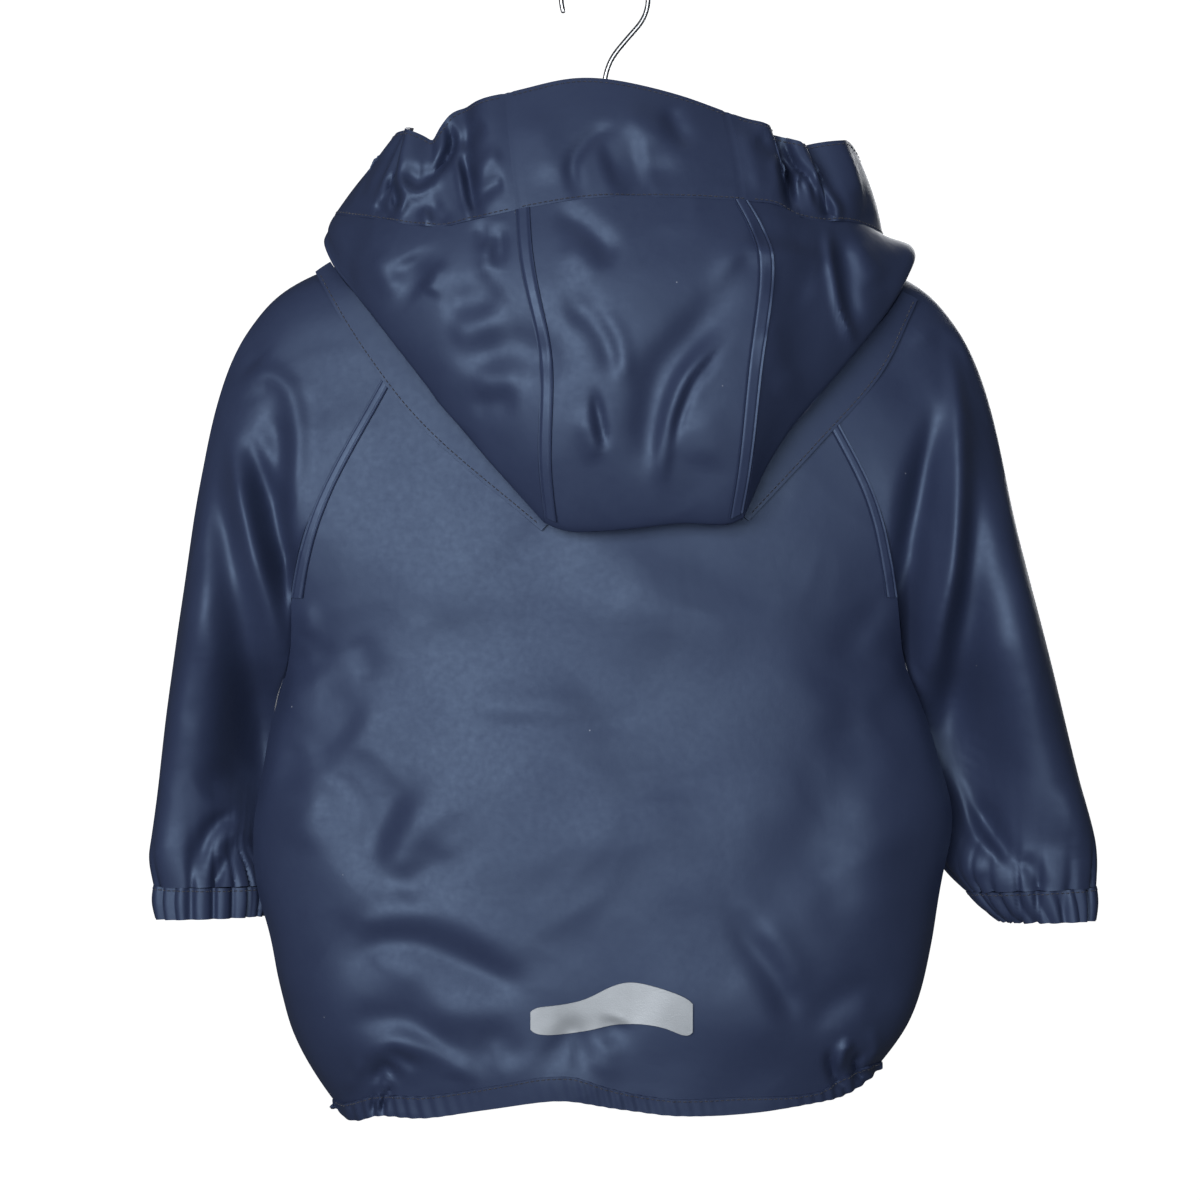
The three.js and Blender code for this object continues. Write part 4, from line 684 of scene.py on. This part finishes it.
def outer_skin(node, wall):
    """The outer face of one of the frame's walls as quads, without its rim and inner face."""
    skin = open_copy(node, node + "_cloth")
    mesh = bmesh.from_edit_mesh(skin.data)
    bmesh.ops.delete(mesh, geom=rim_faces(mesh, wall), context="FACES")
    groups = connected_faces(mesh.faces)
    groups.sort(key=lambda group: -sum(f.calc_area() for f in group))
    if len(groups) != 2 or len(groups[0]) != len(groups[1]):
        raise RuntimeError(f"{node}: the wall came apart into {[len(g) for g in groups]} faces")
    bmesh.ops.delete(mesh, geom=groups[1], context="FACES")
    bmesh.update_edit_mesh(skin.data)
    close_as_quads()
    return skin


def points_of(obj):
    """The vertices in millimetres."""
    co = np.empty(len(obj.data.vertices) * 3)
    obj.data.vertices.foreach_get("co", co)
    return co.reshape(-1, 3) / MM


def normals_of(obj):
    """The normals at the vertices."""
    normals = np.empty(len(obj.data.vertices) * 3, np.float32)
    obj.data.vertex_normals.foreach_get("vector", normals)
    return normals.reshape(-1, 3).astype(float)


def place_points(obj, points):
    """Puts the vertices at points in millimetres."""
    obj.data.vertices.foreach_set("co", (points * MM).astype(np.float32).ravel())
    obj.data.update()


def smooth(value, low, high):
    """0 below low, 1 above high and a soft step between."""
    share = np.clip((value - low) / (high - low), 0, 1)
    return share * share * (3 - 2 * share)


LINE_STEPS = 5
# The share of a fold's length over which each end fades, and its width there
END_SHARE = 0.3
THINNEST = 0.4
# How many half widths from its line a fold is still felt
FOLD_REACH = 3


def fold_line(width, height, points):
    """A smooth curve through a fold's points, as rows of x, z, half width and height."""
    rows = np.array([(x, z, *(share or (1,))) for x, z, *share in points], float)
    ends = np.vstack([2 * rows[0] - rows[1], rows, 2 * rows[-1] - rows[-2]])
    line = []
    for a, b, c, d in zip(ends, ends[1:], ends[2:], ends[3:]):
        for t in np.arange(LINE_STEPS) / LINE_STEPS:
            line.append(0.5 * (2 * b + (c - a) * t + (2 * a - 5 * b + 4 * c - d) * t * t
                               + (3 * b - a - 3 * c + d) * t ** 3))
    line = np.array([*line, rows[-1]])
    along = np.linspace(0, 1, len(line))
    share = np.clip(line[:, 2], 0, 1)
    end = smooth(np.minimum(along, 1 - along), 0, END_SHARE)
    widths = width * (THINNEST + (1 - THINNEST) * share)
    return np.stack([line[:, 0], line[:, 1], widths, height * share * end], 1)


def fold_height(x, z, folds):
    """The height of all folds of a table at points of the picture plane, in millimetres."""
    at = np.stack([x, z], 1)
    total = np.zeros(len(x))
    for fold in folds:
        nodes = fold_line(*fold)
        reach = FOLD_REACH * nodes[:, 2].max()
        low, high = nodes[:, :2].min(0) - reach, nodes[:, :2].max(0) + reach
        near = np.nonzero(((at > low) & (at < high)).all(1))[0]
        here = at[near]
        best, height = np.full(len(near), np.inf), np.zeros(len(near))
        for a, b in zip(nodes, nodes[1:]):
            way = b[:2] - a[:2]
            along = np.clip((here - a[:2]) @ way / (way @ way), 0, 1)
            width = a[2] + (b[2] - a[2]) * along
            distance = np.linalg.norm(here - a[:2] - along[:, None] * way, axis=1) / width
            closer = distance < best
            best = np.where(closer, distance, best)
            height = np.where(closer, a[3] + (b[3] - a[3]) * along, height)
        total[near] += height * np.exp(-best ** 2)
    return total


RIPPLE_WAVES = 16
RIPPLE_STRETCH = (0.75, 1.35)
RIPPLE_PEAK = 1.6


def ripple(points, wavelength, seed):
    """A soft random swell, about -1 to 1, with that wavelength in millimetres."""
    chance = np.random.default_rng(seed)
    total = np.zeros(len(points))
    for _ in range(RIPPLE_WAVES):
        way = chance.normal(size=3)
        way /= np.linalg.norm(way)
        turn = 2 * math.pi / (wavelength * chance.uniform(*RIPPLE_STRETCH))
        total += np.cos(points @ way * turn + chance.uniform(0, 2 * math.pi))
    return total * math.sqrt(2 / RIPPLE_WAVES) / RIPPLE_PEAK


# Slack of each part of the coat: the height of its swell and of its crests, in millimetres
BODY_SLACK = {"swell": 1.3, "crumple": 0.3, "seed": 20}
HOOD_SLACK = {"swell": 1.0, "crumple": 0.3, "seed": 40}
SLEEVE_SLACK = {"swell": 1.2, "crumple": 0.3, "seed": 20}
CUFF_SLACK = {"swell": 0.3, "crumple": 0.2, "seed": 20}
NO_SLACK = {"swell": 0, "crumple": 0, "seed": 1}
# Wavelengths of the slack, and how far it is bent out of line, in millimetres
BEND_WAVE = 90
BEND = 14
BROAD_WAVE = 110
NARROW_WAVE = 62
CREST_WAVE = 46
PATCH_WAVE = 130
BROAD_SHARE = 0.65
CREST_SHARPNESS = 1.3
# From where to where the crests' patches, and the slack and the folds on cloth that turns away, come in
PATCH_FADE = (-0.6, 0.5)
SLACK_FADE = (0.1, 0.6)
FOLD_FADE = (0.02, 0.4)


def slack(points, swell, crumple, seed):
    """Slack cloth: a broad swell, and a finer net of soft crests in patches."""
    bent = points + BEND * np.stack([ripple(points, BEND_WAVE, seed + axis) for axis in (1, 2, 3)], 1)
    broad = (ripple(bent, BROAD_WAVE, seed + 4) * BROAD_SHARE
             + ripple(bent, NARROW_WAVE, seed + 5) * (1 - BROAD_SHARE))
    crests = 1 - np.abs(ripple(bent, CREST_WAVE, seed + 6)) * CREST_SHARPNESS
    return swell * broad + crumple * crests * smooth(ripple(points, PATCH_WAVE, seed + 7), *PATCH_FADE)


def crease_cloth(skin, back, front, swell, crumple, seed, extra=None):
    """Moves the skin by its folds, its slack and what extra gives for points and normals."""
    points, normals = points_of(skin), normals_of(skin)
    # Slack fades out where the cloth turns away at the outline
    height = slack(points, swell, crumple, seed) * smooth(np.abs(normals[:, 1]), *SLACK_FADE)
    if extra is not None:
        height += extra(points, normals)
    moved = points + normals * height[:, None]
    # Folds are pressed square to the picture plane, so that they stay where they are seen
    for side, rows in ((-1, back), (1, front)):
        if rows:
            depth = fold_height(points[:, 0], points[:, 2], rows)
            moved[:, 1] += side * depth * smooth(side * normals[:, 1], *FOLD_FADE)
    place_points(skin, moved)


def open_mesh(skin):
    """The skin's mesh, open for reading and editing."""
    mesh = bmesh.new()
    mesh.from_mesh(skin.data)
    mesh.verts.ensure_lookup_table()
    return mesh


def rim_ways(mesh):
    """For each vertex on the mesh's rim, the direction out of the cloth in its own plane."""
    ways = {}
    for edge in mesh.edges:
        if edge.is_boundary:
            face = edge.link_faces[0]
            way = (edge.verts[1].co - edge.verts[0].co).cross(face.normal).normalized()
            if way.dot(edge.verts[0].co - face.calc_center_median()) < 0:
                way.negate()
            for vert in edge.verts:
                ways[vert] = ways.get(vert, Vector()) + way
    return {vert: way.normalized() for vert, way in ways.items()}


# Steps of subdivision
PANEL_LEVELS = 3
BAND_LEVELS = 2
TAPE_LEVELS = 4
# How far the edges are let out in millimetres, which closes the seams
SEAM_REACH = 0.5
FOLDED_REACH = 1.2
NO_REACH = 0


def fine(skin, levels, reach=SEAM_REACH):
    """Rounds the frame's facets off, and lets the edges out by reach."""
    apply_modifier(skin, "SUBSURF", levels=levels, render_levels=levels, boundary_smooth="PRESERVE_CORNERS")
    mesh = open_mesh(skin)
    for vert, way in rim_ways(mesh).items():
        vert.co += way * reach * MM
    mesh.to_mesh(skin.data)
    mesh.free()


def rim_sides(mesh):
    """The sides of a skin's rim, as runs of vertices from corner to corner, or once round without any."""
    unused = {frozenset(v.index for v in edge.verts) for edge in mesh.edges if edge.is_boundary}
    beside = {}
    for pair in unused:
        for at in pair:
            beside.setdefault(at, []).extend(pair - {at})
    corners = [v.index for v in mesh.verts if len(v.link_faces) == 1]
    sides = []
    while unused:
        starts = (c for c in corners if any(frozenset((c, n)) in unused for n in beside[c]))
        at = next(starts, min(next(iter(unused))))
        run = [at]
        while onward := [n for n in beside[at] if frozenset((at, n)) in unused]:
            unused.discard(frozenset((at, onward[0])))
            at = onward[0]
            run.append(at)
            if at in corners:
                break
        sides.append([mesh.verts[index] for index in run])
    return sides


# A side counts as long from this share of the longest one, and as across or upright from this slant
LONG_SIDE = 0.3
SLANT = 0.7


def pick_side(sides, name):
    """Of a rim's long sides that run across or upright, the highest, lowest or furthest left or right one."""
    axis, sign = {"top": (2, 1), "bottom": (2, -1), "left": (0, -1), "right": (0, 1)}[name]
    spans = [np.ptp([v.co for v in run], axis=0) for run in sides]
    longest = max(max(span) for span in spans)
    fitting = [run for run, span in zip(sides, spans)
               if max(span) > LONG_SIDE * longest and span[2 - axis] > SLANT * span[axis]]
    return max(fitting, key=lambda run: sign * sum(v.co[axis] for v in run) / len(run))


# Grooves along both sides of a piece: how far in, how deep and how wide they are, in millimetres
BRIM_GROOVES = {"aways": (1.0, 4.2), "depth": 0.7, "width": 0.8}
TAPE_GROOVES = {"aways": (1.1,), "depth": 0.55, "width": 0.5}


def grooves(skin, aways, depth, width):
    """A function that presses grooves along the left and right sides of the rim."""
    mesh = open_mesh(skin)
    sides = rim_sides(mesh)
    lines = [[v.co / MM for v in pick_side(sides, name)] for name in ("left", "right")]
    mesh.free()

    def extra(points, normals):
        height = np.zeros(len(points))
        for line in lines:
            tree = KDTree(len(line))
            for number, place in enumerate(line):
                tree.insert(place, number)
            tree.balance()
            distance = np.array([tree.find(point)[2] for point in points])
            for away in aways:
                height -= depth * np.exp(-((distance - away) / width) ** 2)
        return height
    return extra


STITCH_SIDES = 6
# Shares of a stitch's length, of its thickness and of its height off the cloth, ring by ring
STITCH_RINGS = ((0.0, 0.35, -0.4), (0.15, 0.9, 0.15), (0.5, 1.0, 0.35), (0.85, 0.9, 0.15), (1.0, 0.35, -0.4))
# The sides of each kind of band that are stitched, and how far in from them the stitches run, in millimetres
CUFF_ROWS = {"top": 2.0}
BRIM_ROWS = {"top": 2.6, "bottom": 1.6}
HEM_ROWS = {"top": 1.4}
PLACKET_ROWS = {"left": 3.0, "right": 3.0}
HOOD_BAND_INSET = 2.0
_stitches = []


def stitch_row(skin, name, inset):
    """Notes the stitches of one row that runs along a side of the skin, inset from it in millimetres."""
    mesh = open_mesh(skin)
    mesh.normal_update()
    tree = BVHTree.FromBMesh(mesh)
    ways = rim_ways(mesh)
    run = pick_side(rim_sides(mesh), name)
    places = [tree.find_nearest(v.co - ways[v] * inset * MM)[:2] for v in run]
    mesh.free()
    path = np.array([place for place, _ in places])
    normals = np.array([normal for _, normal in places])
    lengths = np.concatenate([[0], np.cumsum(np.linalg.norm(np.diff(path, axis=0), axis=1))])

    def at(distance, rows):
        return np.array([np.interp(distance, lengths, rows[:, axis]) for axis in range(3)])

    stitch, step = sizes().stitch, sizes().stitch_step
    begin = step
    while begin + step < lengths[-1]:
        _stitches.append([(at(begin + share * stitch, path), at(begin + share * stitch, normals), thick, lift)
                          for share, thick, lift in STITCH_RINGS])
        begin += step


def sew_stitches():
    """All stitches noted so far as one mesh of short lengths of thread."""
    places, faces = [], []
    radius = sizes().thread / 2
    for rings in _stitches:
        first = len(places)
        along = rings[-1][0] - rings[0][0]
        for centre, normal, thick, lift in rings:
            normal = normal / np.linalg.norm(normal)
            across = np.cross(along, normal)
            across /= np.linalg.norm(across)
            for side in range(STITCH_SIDES):
                angle = 2 * math.pi * side / STITCH_SIDES
                around = across * math.cos(angle) + normal * math.sin(angle)
                places.append(centre + normal * radius * lift + around * radius * thick)
        last = first + STITCH_SIDES * (len(rings) - 1)
        faces.append([first + side for side in range(STITCH_SIDES)])
        faces.append([last + side for side in reversed(range(STITCH_SIDES))])
        for ring in range(first, last, STITCH_SIDES):
            for side in range(STITCH_SIDES):
                after = (side + 1) % STITCH_SIDES
                faces.append([ring + after, ring + side,
                              ring + side + STITCH_SIDES, ring + after + STITCH_SIDES])
    mesh = bpy.data.meshes.new("stitches")
    mesh.from_pydata(places, [], faces)
    mesh.shade_smooth()
    mesh.materials.append(materials()["thread"])
    stitches = new_object("stitches", mesh)
    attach(stitches, "root")


# The rings of the two cuffs: the middle of the upper edge, half the width and the depth, in millimetres
CUFF_RINGS = {"left": (-241, 10, -574, 35.5, 23), "right": (264.5, 9.5, -576, 36.5, 23)}
GATHERS = 18
GATHER_WIDTH = 0.45
GATHER_REACH = 16
# Depth of the gathers in millimetres, and how far they wander round the cuff
SLEEVE_GATHERS = {"deep": 4.0, "wander": 0.12, "on_sleeve": True}
CUFF_GATHERS = {"deep": 3.0, "wander": 0.06, "on_sleeve": False}


def gathers(side, deep, wander, on_sleeve):
    """Narrow valleys round a cuff, deeper and shallower by turns; on the sleeve they fade out upwards."""
    x, y, z, half, depth = CUFF_RINGS[side]

    def extra(points, normals):
        angle = np.arctan2((points[:, 1] - y) / depth, (points[:, 0] - x) / half)
        drift = wander * np.sin(2 * angle + 0.6) + 0.5 * wander * np.sin(5 * angle + 2)
        valley = np.exp(-(np.sin(GATHERS / 2 * (angle + drift) + math.pi / 2) / GATHER_WIDTH) ** 2)
        share = 0.65 + 0.35 * np.sin(3 * angle + 1) * np.cos(4 * angle)
        height = -deep * valley * share + 0.3 * deep
        if on_sleeve:
            height *= np.exp(-np.maximum(0, points[:, 2] - z) / GATHER_REACH)
        return height
    return extra


HEM_RIPPLE = 7.5
HEM_RIPPLE_HEIGHT = 0.55
HEM_LEAN = 0.25


def hem_gathers(points, normals):
    """Fine upright ripples along the hem band, where it is drawn in by its elastic."""
    x = points[:, 0] + 1.5 * np.sin(points[:, 0] / 11) + HEM_LEAN * points[:, 2]
    strength = 0.5 + 0.5 * np.sin(points[:, 0] / 23 + 1)
    return HEM_RIPPLE_HEIGHT * strength * np.cos(2 * math.pi * x / HEM_RIPPLE)


# The hood's bands were raised off the coat in the frame; as cloth they lie on it
BAND_SETTLES = 2.2


def settled(points, normals):
    """The same step inwards everywhere."""
    return -BAND_SETTLES


# The finishes of a wall's outer and inner face
BACKED = ("cloth", "backing")
FOLDED = ("cloth", "cloth")
SMOOTH_ANGLE = math.radians(55)
# The folds seen from the back and from the front
NO_FOLDS = ((), ())
BODY_FOLDS = (BACK_FOLDS, FRONT_FOLDS)
SLEEVE_FOLDS = {
    "left": (SLEEVE_LEFT_BACK_FOLDS, SLEEVE_LEFT_FRONT_FOLDS),
    "right": (SLEEVE_RIGHT_BACK_FOLDS, SLEEVE_RIGHT_FRONT_FOLDS),
}


def dress(node, wall, levels, folds, give, thickness, reach=SEAM_REACH, extra=None, grooved=None, rows=None,
          faces=FOLDED):
    """Makes one of the frame's walls into cloth: rounded, creased, stitched and given its thickness."""
    skin = outer_skin(node, wall)
    fine(skin, levels, reach)
    if grooved:
        extra = grooves(skin, **grooved)
    crease_cloth(skin, *folds, extra=extra, **give)
    for side, inset in (rows or {}).items():
        stitch_row(skin, side, inset)
    for face in faces:
        skin.data.materials.append(materials()[face])
    apply_modifier(skin, "SOLIDIFY", thickness=thickness, offset=-1.0, material_offset=1,
                   use_quality_normals=True)
    activate(skin)
    bpy.ops.object.shade_smooth_by_angle(angle=SMOOTH_ANGLE)
    put_on_frame(skin, node)


def panel(node, folds, give, extra=None):
    """Makes a panel of single cloth, which shows its backing inside."""
    dress(node, CLOTH_WALL, PANEL_LEVELS, folds, give, sizes().shell, extra=extra, faces=BACKED)


class RAINCOAT_OT_body(bpy.types.Operator):
    """Makes the back and the two fronts."""

    bl_idname = "raincoat.body"
    bl_label = "Body"

    def execute(self, context):
        for node in ("back_panel", "front_left", "front_right"):
            panel(node, BODY_FOLDS, BODY_SLACK)
        return {"FINISHED"}


class RAINCOAT_OT_sleeves(bpy.types.Operator):
    """Makes the raglan sleeves."""

    bl_idname = "raincoat.sleeves"
    bl_label = "Sleeves"

    def execute(self, context):
        for side, folds in SLEEVE_FOLDS.items():
            panel("sleeve_" + side, folds, SLEEVE_SLACK, gathers(side, **SLEEVE_GATHERS))
        return {"FINISHED"}


class RAINCOAT_OT_cuffs(bpy.types.Operator):
    """Makes the gathered cuffs."""

    bl_idname = "raincoat.cuffs"
    bl_label = "Cuffs"

    def execute(self, context):
        for side in ("left", "right"):
            dress("cuff_" + side, BAND_WALL, BAND_LEVELS, NO_FOLDS, CUFF_SLACK, sizes().folded_edge,
                  extra=gathers(side, **CUFF_GATHERS), rows=CUFF_ROWS)
        return {"FINISHED"}


class RAINCOAT_OT_hood(bpy.types.Operator):
    """Makes the three panels of the hood."""

    bl_idname = "raincoat.hood"
    bl_label = "Hood"

    def execute(self, context):
        for node in ("hood_centre", "hood_side_left", "hood_side_right"):
            panel(node, (HOOD_FOLDS, ()), HOOD_SLACK)
        return {"FINISHED"}


class RAINCOAT_OT_brim(bpy.types.Operator):
    """Makes the three parts of the hood's brim, folded double and pressed down along the centre's seams."""

    bl_idname = "raincoat.brim"
    bl_label = "Brim"

    def execute(self, context):
        for node, grooved in (("brim_left", None), ("brim_centre", BRIM_GROOVES), ("brim_right", None)):
            dress(node, BAND_WALL, PANEL_LEVELS, (BRIM_FOLDS, ()), HOOD_SLACK, sizes().folded_edge,
                  FOLDED_REACH, grooved=grooved, rows=BRIM_ROWS)
        return {"FINISHED"}


class RAINCOAT_OT_bands(bpy.types.Operator):
    """Makes the hem bands, the hood's edge bands and the placket."""

    bl_idname = "raincoat.bands"
    bl_label = "Bands"

    def execute(self, context):
        thickness = sizes().folded_edge
        for node in ("hem_back", "hem_front_left", "hem_front_right"):
            dress(node, BAND_WALL, PANEL_LEVELS, BODY_FOLDS, BODY_SLACK, thickness, FOLDED_REACH,
                  extra=hem_gathers, rows=HEM_ROWS)
        for side in ("left", "right"):
            dress("hood_band_" + side, BAND_WALL, BAND_LEVELS, NO_FOLDS, NO_SLACK, thickness,
                  extra=settled, rows={side: HOOD_BAND_INSET})
        dress("placket", CLOTH_WALL, BAND_LEVELS, NO_FOLDS, BODY_SLACK, thickness, rows=PLACKET_ROWS)
        return {"FINISHED"}


class RAINCOAT_OT_tapes(bpy.types.Operator):
    """Makes the welded seam tapes, pressed down along both edges, and the reflective strip."""

    bl_idname = "raincoat.tapes"
    bl_label = "Tapes"

    def execute(self, context):
        thickness = TRIM_WALL * MM
        for node in [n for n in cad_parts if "tape" in n]:
            folds, give = ((HOOD_FOLDS, ()), HOOD_SLACK) if "hood" in node else (BODY_FOLDS, BODY_SLACK)
            dress(node, TRIM_WALL, TAPE_LEVELS, folds, give, thickness, NO_REACH, grooved=TAPE_GROOVES,
                  faces=("tape", "tape"))
        dress("reflector", TRIM_WALL, PANEL_LEVELS, (BACK_FOLDS, ()), BODY_SLACK, thickness, NO_REACH,
              faces=("film", "film"))
        return {"FINISHED"}


SNAPS = 5
# A snap's cap from its middle to its rim: radius and height in millimetres
SNAP_PROFILE = ((0, 1.5), (2.4, 1.5), (3.0, 1.75), (4.4, 2.1), (5.6, 2.1), (6.5, 1.7), (7.0, 1.0), (7.0, 0.0),
                (0, 0))
SNAP_STEPS = 48
SNAP_MERGED = 0.02
SNAP_ANGLE = math.radians(40)


def spun(obj, steps, centre, axis, merged):
    """Turns the object's profile once round the axis, and leaves edit mode open with all selected."""
    bpy.ops.object.mode_set(mode="EDIT")
    bpy.ops.mesh.select_all(action="SELECT")
    bpy.ops.mesh.spin(steps=steps, angle=2 * math.pi, center=centre, axis=axis)
    bpy.ops.mesh.select_all(action="SELECT")
    bpy.ops.mesh.remove_doubles(threshold=merged)


def profile_object(name, points):
    """An object with one open line through the points."""
    mesh = bpy.data.meshes.new(name)
    mesh.from_pydata(points, [(n, n + 1) for n in range(len(points) - 1)], [])
    return new_object(name, mesh)


def snap_cap(node):
    """A dished round cap in the place of one of the frame's snaps."""
    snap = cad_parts[node]
    corners = np.array([snap.matrix_world @ Vector(c) for c in snap.bound_box])
    low, high = corners.min(0), corners.max(0)
    x, y, z = (low[0] + high[0]) / 2, low[1], (low[2] + high[2]) / 2
    cap = profile_object(node + "_cap", [(x + r * MM, y + h * MM, z) for r, h in SNAP_PROFILE])
    spun(cap, SNAP_STEPS, (x, y, z), (0, 1, 0), SNAP_MERGED * MM)
    bpy.ops.mesh.normals_make_consistent(inside=False)
    bpy.ops.object.mode_set(mode="OBJECT")
    bpy.ops.object.shade_smooth_by_angle(angle=SNAP_ANGLE)
    cap.data.materials.append(materials()["snap"])
    put_on_frame(cap, node)


WIRE_LEVELS = 2


class RAINCOAT_OT_hanger(bpy.types.Operator):
    """Finishes the hanger and the snaps."""

    bl_idname = "raincoat.hanger"
    bl_label = "Hanger"

    def execute(self, context):
        for number in range(1, SNAPS + 1):
            snap_cap(f"snap_{number}")
        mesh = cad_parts["hanger_arms"].data
        mesh.materials.clear()
        mesh.materials.append(materials()["wood"])
        wire = open_copy("hanger_hook", "hook_wire")
        close_as_quads()
        wire.data.materials.append(materials()["wire"])
        apply_modifier(wire, "SUBSURF", levels=WIRE_LEVELS, render_levels=WIRE_LEVELS)
        bpy.ops.object.shade_smooth()
        put_on_frame(wire, "hanger_hook")
        return {"FINISHED"}


class RAINCOAT_OT_stitches(bpy.types.Operator):
    """Sews the rows of stitches noted on the pieces."""

    bl_idname = "raincoat.stitches"
    bl_label = "Stitches"

    def execute(self, context):
        sew_stitches()
        return {"FINISHED"}


class RAINCOAT_OT_cuts(bpy.types.Operator):
    bl_idname = "raincoat.cuts"
    bl_label = "Flat cuts"

    def execute(self, context):
        return {"FINISHED"}


# The camera and the round room, in metres; only the camera's sensor is in millimetres
CAMERA_DISTANCE = 2.0
PICTURE_WIDTH = 0.72
PICTURE_CENTRE = (-0.003, -0.397)
BACK_PLANE = -0.06
SENSOR = 36
FLOOR = -1.3
COVE_RADIUS = 5.0
COVE_HEIGHT = 4.0
COVE_BEND = 1.5
BEND_STEPS = 9
COVE_STEPS = 64
COVE_MERGED = 1e-4
COVE_MIDDLE = 0.001
PALE = "f3f3f3"
GLOW = 0.9
SKY = "f3f9ff"
SKY_STRENGTH = 0.08
LIGHT_AIM = (0, 0, -0.4)
# Each soft light's name, place, width and height in metres, and power in watts
LIGHTS = (
    ("key", (-1.0, -2.4, 0.0), (1.8, 1.4), 64),
    ("fill", (0.4, -2.6, -0.5), (1.6, 1.4), 23),
    ("top", (0.0, -0.5, 1.3), (1.4, 1.0), 2),
    ("front", (0.6, 2.2, 0.6), (1.8, 1.8), 50),
)


def softbox(name, place, size, power):
    """A rectangular soft light that faces the coat."""
    bpy.ops.object.light_add(type="AREA", location=place)
    light = bpy.context.object
    light.name = name
    light.data.shape = "RECTANGLE"
    light.data.size, light.data.size_y = size
    light.data.energy = power
    light.rotation_mode = "QUATERNION"
    light.rotation_quaternion = (Vector(place) - Vector(LIGHT_AIM)).to_track_quat("Z", "Y")


def pale_paint():
    """Matt pale paint that glows a little, so that floor and wall look even."""
    paint = bpy.data.materials.new("pale_floor_paint")
    paint.use_nodes = True
    shader = paint.node_tree.nodes["Principled BSDF"]
    shader.inputs["Base Color"].default_value = (*srgb(PALE), 1)
    shader.inputs["Roughness"].default_value = 0.9
    shader.inputs["Emission Color"].default_value = (1, 1, 1, 1)
    shader.inputs["Emission Strength"].default_value = GLOW
    return paint


def round_cove():
    """The floor, which bends up into a round wall."""
    bend = [(COVE_RADIUS - COVE_BEND + COVE_BEND * math.sin(a), FLOOR + COVE_BEND * (1 - math.cos(a)))
            for a in np.linspace(0, math.pi / 2, BEND_STEPS)]
    profile = [(COVE_MIDDLE, FLOOR), *bend, (COVE_RADIUS, FLOOR + COVE_HEIGHT)]
    cove = profile_object("cove", [(x, 0, z) for x, z in profile])
    spun(cove, COVE_STEPS, (0, 0, 0), (0, 0, 1), COVE_MERGED)
    bpy.ops.object.mode_set(mode="OBJECT")
    bpy.ops.object.shade_smooth()
    cove.data.materials.append(pale_paint())
    cove.visible_shadow = False
    cove.visible_diffuse = False
    cove.visible_glossy = False


class RAINCOAT_OT_stage(bpy.types.Operator):
    """Makes the camera, the soft light and the pale floor with its cove."""

    bl_idname = "raincoat.stage"
    bl_label = "Stage"

    def execute(self, context):
        bpy.ops.object.camera_add(
            location=(PICTURE_CENTRE[0], BACK_PLANE - CAMERA_DISTANCE, PICTURE_CENTRE[1]),
            rotation=(math.pi / 2, 0, 0))
        camera = context.object
        camera.data.sensor_width = SENSOR
        camera.data.lens = SENSOR * CAMERA_DISTANCE / PICTURE_WIDTH
        context.scene.camera = camera
        context.scene.view_settings.view_transform = "Standard"
        round_cove()
        world = bpy.data.worlds.new("soft_room")
        world.use_nodes = True
        background = world.node_tree.nodes["Background"]
        background.inputs["Color"].default_value = (*srgb(SKY), 1)
        background.inputs["Strength"].default_value = SKY_STRENGTH
        context.scene.world = world
        for light in LIGHTS:
            softbox(*light)
        return {"FINISHED"}


class RAINCOAT_PT_panel(bpy.types.Panel):
    """The raincoat's sizes, colours and pieces."""

    bl_label = "Raincoat"
    bl_space_type = "VIEW_3D"
    bl_region_type = "UI"
    bl_category = "Raincoat"

    def draw(self, context):
        for group in (context.scene.raincoat_sizes, context.scene.raincoat_colours):
            for name in group.__annotations__:
                self.layout.prop(group, name)
        for operator in OPERATORS:
            self.layout.operator(operator.bl_idname)


OPERATORS = (
    RAINCOAT_OT_stage,
    RAINCOAT_OT_body,
    RAINCOAT_OT_sleeves,
    RAINCOAT_OT_cuffs,
    RAINCOAT_OT_hood,
    RAINCOAT_OT_brim,
    RAINCOAT_OT_bands,
    RAINCOAT_OT_tapes,
    RAINCOAT_OT_stitches,
    RAINCOAT_OT_hanger,
    RAINCOAT_OT_cuts,
)
CLASSES = (RaincoatSizes, RaincoatColours, *OPERATORS, RAINCOAT_PT_panel)


def register():
    for cls in CLASSES:
        bpy.utils.register_class(cls)
    bpy.types.Scene.raincoat_sizes = bpy.props.PointerProperty(type=RaincoatSizes)
    bpy.types.Scene.raincoat_colours = bpy.props.PointerProperty(type=RaincoatColours)


def unregister():
    del bpy.types.Scene.raincoat_colours
    del bpy.types.Scene.raincoat_sizes
    for cls in reversed(CLASSES):
        bpy.utils.unregister_class(cls)


def main():
    register()
    for operator in OPERATORS:
        name = operator.bl_idname.split(".")[1]
        getattr(bpy.ops.raincoat, name)()


if __name__ == "__main__":
    main()
